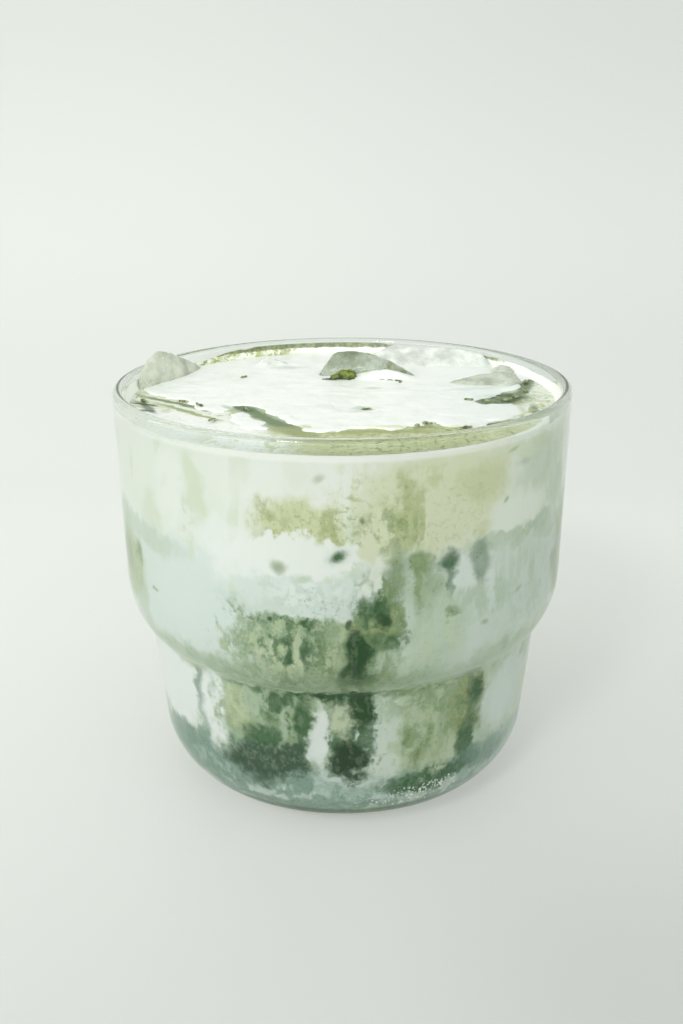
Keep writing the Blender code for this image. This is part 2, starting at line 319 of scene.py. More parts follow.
# %% The room's paint
# The room's paint holds painted shade: the wall darker upwards, the floor darker to the front right, and the
# right side dimmer.
WALL_LOW, WALL_HIGH_SHADE = shade(170, 173, 169), shade(148, 151, 147)
FLOOR_PAINT, FLOOR_GRAIN, FLOOR_NEAR_SHADE = shade(191, 194, 190), shade(194, 197, 193), shade(157, 161, 157)
SHADE_FAR_RIGHT, SHADE_NEAR_RIGHT = (0.88, 0.88, 0.89, 1), (0.82, 0.83, 0.83, 1)
GLOW, GLOW_STRENGTH = (0.97, 1.0, 0.96, 1), 0.27  # the light that other walls would send back

walls = Nodes("room_paint")
where = walls.add("SeparateXYZ", {0: walls.place}).outputs


def both(first, second):
    """A share that rises along two axes, each given as (axis, from, to) in metres."""
    return walls.times(*(walls.step(where[axis], low, high) for axis, low, high in (first, second)))


grain = walls.step(walls.noise(walls.place, 0.25, detail=4), 0.3, 0.7)
forward = walls.math("SUBTRACT", walls.times(where["X"], 0.5), where["Y"])
floor_paint = walls.mix(grain, FLOOR_PAINT, FLOOR_GRAIN)
# Painted shade: the floor is painted darker towards the front and the right, where the light falls off.
floor_paint = walls.mix(walls.step(forward, -0.1, 0.16), floor_paint, FLOOR_NEAR_SHADE)
# Painted shade: the wall is painted darker from its foot up to the top of the cove.
wall_paint = walls.mix(walls.step(where["Z"], 0.04, COVE), WALL_LOW, WALL_HIGH_SHADE)
paint = walls.mix(walls.step(where["Y"], 0.12, 0.3), floor_paint, wall_paint)
# Painted shade: the floor in front of the glass's right half and the room's far right are darkened.
for share, dim in (
    (both(("X", 0, 0.045), ("Y", -0.012, -0.075)), SHADE_NEAR_RIGHT),
    (both(("X", -0.12, 0.2), ("Y", -0.02, 0.2)), SHADE_FAR_RIGHT),
):
    paint = walls.mix(share, paint, dim, "MULTIPLY")
walls.set(base_color=paint, roughness=0.55, emission_color=GLOW, emission_strength=GLOW_STRENGTH)
room.data.materials.append(walls.material)

# %% [markdown]
# ## The glass
#
# A stacking glass is pressed in a mould and its lip is melted smooth. It is a turned shape, so it is
# made the way a potter would: one ring is drawn out from point to point along a profile, up the outside,
# over the lip and down the inside. The ring starts as a filled disc, which stays as the foot, and the
# disc that travels along ends as the cavity's floor, so the wall is closed all round.

# %% The glass's sizes
HEIGHT = 80.5 * MM
RIM_R = 44.0 * MM
UPPER_FOOT_Z = 44.4 * MM
SHOULDER_CENTRE_R = 36.5 * MM
SHOULDER_DROP = 12.25 * MM
BASE_TOP_R = 40.0 * MM
BASE_LOW_R = 38.25 * MM
FOOT_R = 24.6 * MM
FOOT_CURVE_Z = 12.7 * MM
LIP_TURN = 0.95 * MM
WALL = 2.1 * MM
CAVITY_SHOULDER_CENTRE_R = 36.0 * MM
CAVITY_SHOULDER_TOP = 45.2 * MM
CAVITY_SHOULDER_DROP = 10.6 * MM
CAVITY_BASE_TOP_R = 37.5 * MM
CAVITY_BASE_TOP_Z = 33.4 * MM
CAVITY_BASE_LOW_R = 35.9 * MM
CAVITY_BEND = 0.9 * MM
CAVITY_CURVE_Z = 15.5 * MM
FLOOR_R = 26.4 * MM
FLOOR_Z = 4.4 * MM
SIDES = 192


def arc(centre_r, centre_z, half_r, half_z, start, steps):
    """Points on an ellipse, from start degrees up to 90, where 0 is straight down and 90 straight out."""
    points = []
    for i in range(steps + 1):
        a = math.radians(start + (90 - start) * i / steps)
        points.append((centre_r + half_r * math.sin(a), centre_z - half_z * math.cos(a)))
    return points


def outer_profile():
    half = RIM_R - SHOULDER_CENTRE_R
    notch = math.degrees(math.asin((BASE_TOP_R - SHOULDER_CENTRE_R) / half))
    corner = arc(FOOT_R, FOOT_CURVE_Z, BASE_LOW_R - FOOT_R, FOOT_CURVE_Z, 0, 18)
    shoulder = arc(SHOULDER_CENTRE_R, UPPER_FOOT_Z, half, SHOULDER_DROP, notch, 14)
    r, z = shoulder[0]
    soft = [(r - 0.06 * MM, z - 1.1 * MM), (r - 0.02 * MM, z - 0.5 * MM), (r + 0.12 * MM, z - 0.06 * MM)]
    beside = Vector(shoulder[0]).lerp(Vector(shoulder[1]), 0.6)
    return [*corner, *soft, tuple(beside), *shoulder[1:]]


def lip_profile():
    centre_r = RIM_R - LIP_TURN
    centre_z = HEIGHT - LIP_TURN
    turns = [math.radians(a) for a in range(0, 181, 15)]
    return [(centre_r + LIP_TURN * math.cos(a), centre_z + LIP_TURN * math.sin(a)) for a in turns]


def cavity_profile():
    half = RIM_R - WALL - CAVITY_SHOULDER_CENTRE_R
    bend = math.degrees(math.asin((CAVITY_BASE_TOP_R + CAVITY_BEND - CAVITY_SHOULDER_CENTRE_R) / half))
    corner = arc(FLOOR_R, CAVITY_CURVE_Z, CAVITY_BASE_LOW_R - FLOOR_R, CAVITY_CURVE_Z - FLOOR_Z, 0, 14)
    shoulder = arc(CAVITY_SHOULDER_CENTRE_R, CAVITY_SHOULDER_TOP, half, CAVITY_SHOULDER_DROP, bend, 10)
    below = (CAVITY_BASE_TOP_R, CAVITY_BASE_TOP_Z)
    turn_in = Vector(below).lerp(Vector(shoulder[0]), 0.55) - Vector((0.18 * MM, 0))
    return [*corner, below, tuple(turn_in), *shoulder]


def moved_in(profile, distance):
    """A profile that starts level and ends upright, moved towards the axis along its normals."""
    points = [Vector(p) for p in profile]
    points = [points[0] - Vector((1, 0)), *points, points[-1] + Vector((0, 1))]
    moved = []
    for before, here, after in zip(points, points[1:], points[2:]):
        way_in = (here - before).normalized()
        way_out = (after - here).normalized()
        normal_in = Vector((-way_in.y, way_in.x))
        middle = (normal_in + Vector((-way_out.y, way_out.x))).normalized()
        moved.append(tuple(here + middle * distance / middle.dot(normal_in)))
    return moved


def turn(name, profile, sides=SIDES):
    """Draws a disc out along a profile of (radius, height) points into one closed turned shape."""
    deselect()
    (r, z), *rest = profile
    bpy.ops.mesh.primitive_circle_add(vertices=sides, radius=r, fill_type="NGON", location=(0, 0, z))
    piece = named(bpy.context.object, name)
    bpy.ops.object.transform_apply(location=True)
    bpy.ops.object.mode_set(mode="EDIT")
    bpy.ops.mesh.select_mode(type="FACE")
    bpy.ops.mesh.select_all(action="SELECT")
    for next_r, next_z in rest:
        bpy.ops.mesh.extrude_region_move(TRANSFORM_OT_translate={"value": (0, 0, next_z - z)})
        share = next_r / r
        bpy.ops.transform.resize(value=(share, share, 1), center_override=(0, 0, next_z))
        r, z = next_r, next_z
    bpy.ops.object.mode_set(mode="OBJECT")
    return piece


# %% The glass
glass = turn("tumbler", [*outer_profile(), *lip_profile(), *reversed(cavity_profile())])
settle(glass, 40)
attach(glass, "root")
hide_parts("glass")

# %% The glass's finish
clear = Nodes("clear_pressed_glass")
ripple = clear.noise(clear.scaled(clear.place, (1, 1, 0.45)), 14 * MM, detail=1.5)
clear.set(base_color=shade(247, 251, 248), roughness=0.0, ior=1.5)
clear.set(transmission_weight=1.0, specular_ior_level=0.3)
clear.bump(ripple, 0.16 * MM)
glass.data.materials.append(clear.material)
print("the glass is clear, with the faint waves that pressing leaves")

# %% [markdown]
# ## The drink
#
# The latte fills the glass right into the wall, so that no air shows between them: its side stands a
# hair inside the glass. Above its level a thin film clings to the wall, highest at the back, where the
# cream was poured. The same turning tool draws it, and the film's rim is then lifted by a smooth rule.

# %% The drink's body
LEVEL = 77.1 * MM
INTO_WALL = 0.05 * MM
FILM = 1.0 * MM  # the film as turned, before it is lifted
FILM_MOST = 2.45 * MM
MENISCUS = 0.4 * MM
TOP_WAVE = 0.16 * MM
HAIR = 0.01 * MM  # nearer to the level than this counts as on it
# Where the film stands higher: bearing from the front and half width in degrees, height in mm
COATS = ((-151, 20, 2.2), (178, 31, 2.4), (128, 30, 1.7), (85, 30, 1.3), (-105, 35, 1.2), (-62, 22, 0.25))
RING = 0.9 * MM  # spacing of the top's rings
SHOULDER_FROM = 33.4 * MM  # the side's finish changes at these two heights
UPPER_FROM = 57.0 * MM

LIP_INSIDE_R = RIM_R - 2 * LIP_TURN
LIP_INSIDE_Z = HEIGHT - LIP_TURN


def wall_inside(z):
    """The radius of the glass's straight inner wall, which leans out a little towards the lip."""
    share = (z - CAVITY_SHOULDER_TOP) / (LIP_INSIDE_Z - CAVITY_SHOULDER_TOP)
    return RIM_R - WALL + share * (LIP_INSIDE_R - RIM_R + WALL)


cavity = moved_in(cavity_profile(), -INTO_WALL)
wall_r = wall_inside(LEVEL) + INTO_WALL
band_edge = (wall_inside(UPPER_FROM) + INTO_WALL, UPPER_FROM)
film_profile = [
    (wall_r, LEVEL), (wall_r, LEVEL + 0.5 * FILM), (wall_r, LEVEL + FILM), (wall_r - 0.2 * MM, LEVEL + FILM),
    (wall_r - 0.42 * MM, LEVEL + 0.6 * FILM), (wall_r - 0.65 * MM, LEVEL + 0.25 * FILM),
    (wall_r - 1.1 * MM, LEVEL + 0.06 * FILM),
]
top_rings = int((wall_r - 2 * MM) / RING)
top_profile = [(wall_r - 1.7 * MM - RING * i, LEVEL) for i in range(top_rings)]
drink = turn("latte", [*cavity, band_edge, *film_profile, *top_profile])


def window_of(away, half):
    """1 in the middle, falling smoothly to 0 at half on both sides."""
    return math.cos(min(abs(away) / half, 1) * math.pi / 2) ** 2


def film_climb(x, y):
    """How high the film stands at this bearing, with an uneven edge."""
    bearing = math.degrees(math.atan2(x, -y))
    climb = MENISCUS
    for centre, half, height in COATS:
        climb += height * MM * window_of((bearing - centre + 180) % 360 - 180, half) ** 0.6
    uneven = noise.noise(Vector((x, y, 0)) / (5 * MM)) + 0.6 * noise.noise(Vector((x, y, 0)) / (1.6 * MM))
    return min(climb * (1 + 0.22 * uneven), FILM_MOST)


for vert in drink.data.vertices:
    above = vert.co.z - LEVEL
    if above > HAIR:
        vert.co.z = LEVEL + above / FILM * film_climb(vert.co.x, vert.co.y)
        if vert.co.xy.length > wall_r - 0.05 * MM:
            vert.co.xy *= (wall_inside(vert.co.z) + INTO_WALL) / wall_r
    elif above > -HAIR and vert.co.xy.length < wall_r - 1.2 * MM:
        vert.co.z += TOP_WAVE * noise.noise(vert.co / (7 * MM))
settle(drink, 50)

# %% [markdown]
# ## The ice
#
# Six lumps stand in the drink. Ice in a drink has melted corners and shallow dimples, so each lump of
# the solid model is copied, remeshed to an even skin, smoothed until its corners are round and then
# dented a little by a cloud pattern. The solid stays as it is, and the copy stands for it.

# %% The ice lumps
ICE_SKIN = 0.32 * MM
ICE_DENT = 0.3 * MM
ICE_GRIP = 0.4 * MM  # the room cut for a lump is this much smaller than the lump, so that no gap shows
PASTE_BOUNDS = (-5.0 * MM, 4.2 * MM, 14.9 * MM, LEVEL - 1.6 * MM, LEVEL + 2.3 * MM)  # the block it is in


def blotches(name, size, depth=2):
    """A pattern of soft blotches, used to dent a surface."""
    made = bpy.data.textures.new(name, "CLOUDS")
    made.noise_scale = size
    made.noise_depth = depth
    return made


def dent(piece, pattern, depth, middle=0.5):
    """Moves a surface in and out by a pattern."""
    settings = {"texture": pattern, "texture_coords": "GLOBAL", "mid_level": middle}
    apply_modifier(piece, "DISPLACE", strength=depth, **settings)


dents = blotches("ice_dents", 2.6 * MM, 1)


def copied(node, name):
    """A merged copy of a solid's mesh, as a new piece."""
    deselect()
    piece = bpy.data.objects.new(name, bpy.data.objects[node].data.copy())
    bpy.context.scene.collection.objects.link(piece)
    piece.data.name = name
    piece.data.materials.clear()
    take(piece)
    bpy.ops.object.mode_set(mode="EDIT")
    bpy.ops.mesh.select_all(action="SELECT")
    bpy.ops.mesh.remove_doubles(threshold=WELD)
    bpy.ops.object.mode_set(mode="OBJECT")
    return piece


def at_paste(spot):
    """Whether a point lies where paste clings to the middle lump's foot."""
    left, right, back, low, high = PASTE_BOUNDS
    return left < spot.x < right and spot.y < back and low < spot.z < high


def without_paste(piece):
    """Takes the paste off the middle lump's foot and closes the ice behind it."""
    pick(piece, at_paste, "VERT")
    bpy.ops.mesh.delete(type="VERT")
    bpy.ops.mesh.select_all(action="SELECT")
    bpy.ops.mesh.convex_hull(join_triangles=False)
    bpy.ops.object.mode_set(mode="OBJECT")


ice_lumps = []
ice_moulds = []
for node in ("ice_centre", "ice_left", "ice_right", "ice_back", "ice_tip_left", "ice_tip_right"):
    lump = copied(node, node.replace("ice", "lump"))
    if node == "ice_centre":
        without_paste(lump)
    mould = copied(lump.name, lump.name + "_mould")
    apply_modifier(mould, "DISPLACE", strength=-ICE_GRIP, mid_level=0.0)
    ice_moulds.append(mould)
    apply_modifier(lump, "REMESH", mode="VOXEL", voxel_size=ICE_SKIN)
    apply_modifier(lump, "SMOOTH", factor=0.5, iterations=10)
    dent(lump, dents, ICE_DENT, 0.42)
    settle(lump, 60)
    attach(lump, "root")
    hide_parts(node)
    ice_lumps.append(lump)
print(len(ice_lumps), "lumps of ice")


# %% Room for the ice
def cut(piece, cutter):
    apply_modifier(piece, "BOOLEAN", object=cutter, operation="DIFFERENCE", solver="EXACT")


for mould in ice_moulds:
    cut(drink, mould)
settle(drink, 50)
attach(drink, "root")
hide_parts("drink")

# %% [markdown]
# ## The cream
#
# Poured cream spreads on the drink as a thin layer with lobes and bays. A flat curve is the tool for
# such an outline: a few given points, smooth between them, then a thickness and a rolled edge. The
# long stretch where it meets the wall is a plain arc.

# %% The cream's outline
CREAM_R = 41.5  # where it meets the film on the wall
CREAM_THICK = 1.0 * MM
CREAM_EDGE = 0.3 * MM
CREAM_PROUD = 0.3 * MM
# Points in mm, seen from above, from the left wall along the front to the right wall
MAIN_LOBES = (
    (-38.5, 1.5), (-36.0, -1.2), (-33.2, -3.0), (-30.6, -4.6), (-29.2, -7.4), (-27.0, -10.6), (-24.4, -13.0),
    (-22.4, -14.4), (-21.2, -12.6), (-20.6, -10.2), (-19.2, -8.4), (-17.0, -9.6), (-15.3, -12.2),
    (-13.4, -15.0), (-11.2, -18.0), (-9.4, -21.6), (-7.4, -25.0), (-5.2, -27.8), (-3.2, -28.5),
    (-1.0, -27.2), (1.5, -26.3), (5.0, -25.9), (8.6, -26.0), (10.4, -25.2), (11.6, -23.8), (13.4, -23.3),
    (14.8, -22.2), (15.6, -20.8), (16.5, -22.4), (18.0, -24.2), (20.2, -25.8), (22.4, -26.2),
    (23.8, -24.8), (24.9, -22.9), (27.2, -20.9), (29.6, -19.2), (32.0, -17.3), (33.7, -14.8),
    (34.4, -12.0), (33.5, -9.6), (31.4, -8.5), (28.8, -8.7), (26.2, -8.6), (25.0, -7.2), (26.4, -5.2),
    (28.6, -3.2), (30.4, -0.6), (32.2, 1.7), (34.6, 3.0), (36.0, 5.0), (36.5, 8.0), (37.1, 11.0),
)
ISLAND = (
    (-20.4, -16.6), (-18.4, -14.0), (-16.9, -16.4), (-15.2, -19.4), (-13.4, -22.8), (-12.4, -25.6),
    (-14.2, -26.8), (-17.2, -24.4), (-19.4, -20.8),
)
WALL_START, WALL_END, WALL_STEP = 18, 176, 8  # the arc along the wall, by bearing from +X in degrees


def wall_arc():
    turns = [math.radians(a) for a in range(WALL_START, WALL_END + 1, WALL_STEP)]
    return [(CREAM_R * math.cos(a), CREAM_R * math.sin(a)) for a in turns]


def flat_curve(name, outlines):
    """A filled flat curve with smooth handles through each outline's points."""
    deselect()
    bpy.ops.curve.primitive_bezier_circle_add(radius=1)
    piece = named(bpy.context.object, name)
    curve = piece.data
    curve.splines.clear()
    curve.dimensions = "2D"
    curve.fill_mode = "BOTH"
    curve.resolution_u = curve.render_resolution_u = 5
    for points in outlines:
        spline = curve.splines.new("BEZIER")
        spline.bezier_points.add(len(points) - 1)
        spline.use_cyclic_u = True
        for knot, (x, y) in zip(spline.bezier_points, points):
            knot.co = (x * MM, y * MM, 0)
            knot.handle_left_type = knot.handle_right_type = "AUTO"
    return piece


# %% The cream
CREAM_SKIN = 0.48 * MM
CREAM_FREE_R = 40.6  # in mm: the edge is ragged inside this radius
CREAM_FREE_Y = 3  # and in front of this
RAGGED_SEED = 5  # without a seed, the vector noise starts from the clock and no two runs agree
HEAP = 1.5 * MM  # the cream is heaped against the middle lump's right half
HEAP_FROM, HEAP_TO, HEAP_REACH = 1.6 * MM, 15.5 * MM, 5.5 * MM
HEAP_BIN = 0.5 * MM
HEAP_INTO_ICE = 1.2 * MM

cream = flat_curve("poured_cream", [[*MAIN_LOBES, *wall_arc()], ISLAND])
cream.data.extrude = CREAM_THICK / 2
cream.data.bevel_depth = CREAM_EDGE
cream.data.bevel_resolution = 2
cream.data.offset = -CREAM_EDGE
cream.location.z = LEVEL + CREAM_PROUD - CREAM_THICK / 2 - CREAM_EDGE
bpy.ops.object.convert(target="MESH")
cream = bpy.context.object
take(cream)
bpy.ops.object.transform_apply(location=True, rotation=True, scale=True)
settle(cream)
for mould in ice_moulds:
    cut(cream, mould)
apply_modifier(cream, "REMESH", mode="VOXEL", voxel_size=CREAM_SKIN)
dent(cream, blotches("cream_lobes", 3.4 * MM), 0.32 * MM)
apply_modifier(cream, "SMOOTH", factor=0.5, iterations=6)


def held(value, low=0, high=1):
    """The value, but never outside its limits."""
    return min(max(value, low), high)


noise.seed_set(RAGGED_SEED)
for vert in cream.data.vertices:
    free = held((CREAM_FREE_R - vert.co.xy.length / MM) / 3) * held((CREAM_FREE_Y - vert.co.y / MM) / 3)
    ragged = noise.noise_vector(vert.co / (2.6 * MM)) * 1.1 + noise.noise_vector(vert.co / (1.1 * MM)) * 0.5
    vert.co.xy += ragged.xy * free * MM

ice_front = {}  # where the middle lump's front lies, by steps of HEAP_BIN to the right
for vert in ice_lumps[0].data.vertices:
    if LEVEL < vert.co.z < LEVEL + 2 * MM:
        place = round(vert.co.x / HEAP_BIN)
        ice_front[place] = min(ice_front.get(place, 1), vert.co.y)
for vert in cream.data.vertices:
    share = window_of(vert.co.x - (HEAP_FROM + HEAP_TO) / 2, (HEAP_TO - HEAP_FROM) / 2)
    front = ice_front.get(held(round(vert.co.x / HEAP_BIN), min(ice_front), max(ice_front)))
    if vert.co.z > LEVEL - 0.2 * MM and share and front - HEAP_REACH < vert.co.y < front + HEAP_INTO_ICE:
        rise = min((vert.co.y - front + HEAP_REACH) / HEAP_REACH, 1)
        lift = HEAP * share**0.5 * rise * rise * (3 - 2 * rise)
        vert.co.z += lift * (1 + 0.25 * noise.noise(vert.co / (2 * MM)))
settle(cream, 60)
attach(cream, "root")
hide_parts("cream")

# %% [markdown]
# ## Mugwort paste, flecks and bubbles
#
# A spoon of thick mugwort paste has stayed in lumps at the foot of the middle ice and on the cream.
# Each lump is one icosphere, squashed and dented, and the small ones are joined into one piece for each
# kind. The froth at the bottom of the glass is made the same way from tiny white beads.

# %% Lumps of paste
PASTE_SKIN = 0.28 * MM
# Each lump: x and y, height over the level, half sizes, and its turn in degrees
PASTE_LUMPS = (
    (0.5, 13.0, 1.0, 1.9, 1.3, 1.1, 4), (-1.2, 12.6, 0.7, 1.3, 1.0, 0.8, 12),
    (1.9, 13.0, 1.0, 1.1, 0.9, 0.9, 0), (-2.9, 12.1, 0.25, 1.6, 0.45, 0.4, 10),
    (-1.7, 12.0, 0.3, 0.7, 0.6, 0.5, 60), (1.4, 11.8, 0.25, 0.5, 0.8, 0.5, 20),
    (2.3, 12.0, 0.25, 0.9, 0.5, 0.4, -30),
)


def lump_of(x, y, z, half_x, half_y, half_z, turned, detail=3):
    deselect()
    spot, turn_by = (x * MM, y * MM, LEVEL + z * MM), (0, 0, math.radians(turned))
    bpy.ops.mesh.primitive_ico_sphere_add(subdivisions=detail, radius=1, location=spot, rotation=turn_by)
    made = bpy.context.object
    made.scale = (half_x * MM, half_y * MM, half_z * MM)
    bpy.ops.object.transform_apply(location=True, rotation=True, scale=True)
    return made


def joined(pieces, name):
    """Several pieces as one."""
    deselect()
    for piece in pieces:
        piece.select_set(True)
    bpy.context.view_layer.objects.active = pieces[0]
    bpy.ops.object.join()
    return named(bpy.context.object, name)


crumbs = blotches("paste_crumbs", 1.1 * MM)
paste = joined([lump_of(*lump) for lump in PASTE_LUMPS], "mugwort_paste")
apply_modifier(paste, "REMESH", mode="VOXEL", voxel_size=PASTE_SKIN)
dent(paste, crumbs, 1.3 * MM)
apply_modifier(paste, "SMOOTH", factor=0.5, iterations=1)
dent(paste, blotches("paste_fine_crumbs", 0.5 * MM), 0.5 * MM)
settle(paste, 60)
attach(paste, "root")
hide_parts("ice_centre")

# %% Flecks on the cream and the drink
# x and y in mm, half length, half width and the way it points in degrees
FLECKS = (
    (-21, 14, 1.5, 0.45, 62), (4.4, -13.2, 0.9, 0.25, 5), (10, 14, 0.9, 0.5, 10), (12, 9, 0.6, 0.3, 80),
    (9.2, 10.6, 1.3, 0.4, -15), (11.6, 10.0, 0.8, 0.3, -30), (-38, -6, 1.0, 0.5, -60),
    (-23, -20.5, 0.9, 0.45, 35), (15, -23, 1.2, 0.6, -20), (21, -26.5, 1.4, 0.7, 10),
    (13, -24.6, 0.6, 0.4, 60), (24, -6.2, 1.1, 0.6, 15), (27.4, -7.4, 0.8, 0.5, -30),
    (31, -6.4, 1.6, 0.8, 25), (33.4, -4, 1.2, 0.7, 50), (36.2, 1, 1.0, 0.5, 80), (37.6, 8.6, 1.3, 0.5, 75),
    (-27, -9.2, 1.4, 0.35, -50), (-17.6, -12.6, 1.0, 0.4, -50), (-30.5, -6.6, 0.8, 0.35, -40),
)
FLECK_Z = 0.42  # how high a fleck lies over the level, in mm
FLECK_THICK = 0.22
FLECK_SHREDS = 5

fleck_rng = random.Random(5)
some = fleck_rng.uniform
fleck_pieces = []
for x, y, half_long, half_wide, turned in FLECKS:
    along = Vector((math.cos(math.radians(turned)), math.sin(math.radians(turned))))
    for _ in range(FLECK_SHREDS):
        slide = along * some(-0.7, 0.7) * half_long + along.orthogonal() * some(-0.6, 0.6) * half_wide
        long, wide = half_long * some(0.3, 0.6), half_wide * some(0.3, 0.8)
        shred = (x + slide.x, y + slide.y, FLECK_Z, long, wide, FLECK_THICK, turned + some(-40, 40))
        fleck_pieces.append(lump_of(*shred, detail=2))
flecks = joined(fleck_pieces, "mugwort_flecks")
dent(flecks, crumbs, 0.25 * MM)
settle(flecks, 60)
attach(flecks, "root")

# %% Froth at the bottom
def cavity_r(z):
    """The drink's radius at a height below the level."""
    for (low_r, low_z), (high_r, high_z) in zip(cavity, cavity[1:]):
        if low_z <= z <= high_z:
            return low_r + (high_r - low_r) * (z - low_z) / (high_z - low_z)


FROTH_BEADS = 170
froth_rng = random.Random(8)
froth_pieces = []
for _ in range(FROTH_BEADS):
    bearing = math.radians(froth_rng.triangular(-2, 37, 31))
    z = froth_rng.triangular(6.2, 10.5, 7.6 + 0.06 * math.degrees(bearing)) * MM
    r = cavity_r(z)
    size = froth_rng.triangular(0.1, 0.34, 0.14) * MM
    deselect()
    spot = (r * math.sin(bearing), -r * math.cos(bearing), z)
    bpy.ops.mesh.primitive_ico_sphere_add(subdivisions=1, radius=size, location=spot)
    froth_pieces.append(bpy.context.object)
froth = joined(froth_pieces, "froth")
settle(froth, 60)
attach(froth, "root")
print(len(PASTE_LUMPS), "lumps of paste,", len(FLECKS), "flecks and", FROTH_BEADS, "beads of froth")

# %% [markdown]
# ## The marbling
#
# Milk and tea that have only half mixed leave clouds, veils and runs on the inside of the glass. Painting
# them by hand needs a picture; here each cloud is an ellipse in the material instead. Its edge is frayed
# by noise, and the sheet that all the ellipses lie on is first bent by noise, as stirred milk bends. The
# sheet is the drink's side laid flat: bearing across, height up. The clouds of the front have their own
# places, and round the back noise chooses between the same colours. A few clouds are partly painted light
# and shade: a sheen at the left of the lower part, a highlight along the level and a darker outline at the
# edges.

# %% The drink's colours
# The bright line at the drink's level: partly the white milk film on the glass, partly a painted highlight
# where the meniscus catches the light.
MILK_LINE_GLINT = shade(255, 255, 246)
MILK = shade(244, 247, 243)
# White at the left of the drink's lower part: partly the milk's own white, partly a painted sheen of the
# glass.
MILK_AND_SHEEN = shade(246, 251, 248)
PALE = shade(229, 236, 221)
MIST = shade(212, 226, 219)
ICE = shade(190, 206, 194)
SAGE = shade(160, 180, 152)
FOG = shade(140, 164, 152)
STONE = shade(98, 124, 110)
LIME = shade(190, 203, 164)
OLIVE = shade(182, 190, 138)
STRAW = shade(208, 213, 174)
KHAKI = shade(150, 160, 106)
LEAF = shade(126, 148, 112)
MOSS = shade(104, 124, 84)
DARK = shade(42, 74, 44)
INK = shade(20, 58, 12)
SLATE = shade(46, 66, 50)
REED = shade(160, 176, 134)
PINE = shade(28, 50, 32)
GROUND = shade(150, 172, 156)
# A painted highlight: the warm line of light that the glass's foot shows is painted at the bottom of the
# drink.
FOOT_GLINT = shade(246, 241, 224)  # the warm light line that the glass shows under the drink
ESCAPE = 1 / 1.5**2  # the share of scattered light that leaves the glass at the first try
SHEEN = 0.012  # the light that the glass itself mirrors


def against_glass(colour):
    """The paint that shows as this colour once it lies against glass, which makes a paint look deeper."""
    clear = [max(c - SHEEN, 0.002) for c in colour[:3]]
    return tuple(c / (ESCAPE + (1 - ESCAPE) * c) for c in clear) + (1,)


# %% Clouds in a material
SIDE_R = 42 * MM  # the radius at which the side is laid flat


def laid_flat(nodes):
    """The side as a flat sheet in metres: bearing from the front across, height up."""
    parts = nodes.add("SeparateXYZ", {0: nodes.place}).outputs
    bearing = nodes.math("ARCTAN2", parts["X"], nodes.times(parts["Y"], -1.0))
    return nodes.add("CombineXYZ", {0: nodes.times(bearing, SIDE_R), 1: parts["Z"]}).outputs[0]


def stirred(nodes, sheet, bends):
    """The sheet bent by noise of several sizes, each (size, reach across, reach up) in metres."""
    for size, across, up in bends:
        wander = nodes.vector("SUBTRACT", nodes.noise_colour(nodes.place, size), (0.5, 0.5, 0.5))
        sheet = nodes.vector("ADD", sheet, nodes.scaled(wander, (across, up, 0)))
    return sheet


def cloud(nodes, sheet, fray, at, size, turned, soft):
    """1 inside an ellipse at (across, up) mm, frayed at its edge, and 0 outside."""
    middle, halves = (at[0] * MM, at[1] * MM, 0), (size[0] * MM, size[1] * MM, 1)
    if turned:
        sockets = {"Vector": sheet, "Location": middle, "Scale": halves}
        sockets["Rotation"] = (0, 0, math.radians(turned))
        inside = nodes.add("Mapping", sockets, vector_type="TEXTURE").outputs[0]
    else:
        inside = nodes.vector("DIVIDE", nodes.vector("SUBTRACT", sheet, middle), halves)
    reach = nodes.add("VectorMath", {0: inside}, operation="LENGTH").outputs["Value"]
    return nodes.step(nodes.plus(reach, fray), 1 + soft, 1 - soft)


def frayed(nodes, *layers):
    """The sum of noises, each (value, weight), round 0."""
    total = None
    for value, weight in layers:
        part = nodes.times(nodes.math("SUBTRACT", value, 0.5), weight)
        total = part if total is None else nodes.plus(total, part)
    return total


def unpacked(entry):
    """A cloud's nine values: the last three are the usual ones where it names none."""
    rest = entry[6:]
    kind, rest = (rest[0], rest[1:]) if rest and isinstance(rest[0], str) else ("soft", rest)
    return (*entry[:6], kind, *rest, *(0.5, 0)[len(rest):])


def painted(nodes, colour, sheet, clouds, edges, fills, wide=1.0, paint=lambda colour: colour):
    """Lays a list of clouds over a colour. A kind that fills only in places has a solid one's edge."""
    for across, up, half_wide, half_tall, tint, strength, kind, soft, turned in map(unpacked, clouds):
        edge = edges["solid" if kind in fills else kind]
        mask = cloud(nodes, sheet, edge, (across * wide, up), (half_wide, half_tall), turned, soft)
        if kind in fills:
            mask = nodes.times(mask, fills[kind])
        colour = nodes.mix(nodes.times(mask, strength), colour, paint(tint))
    return colour


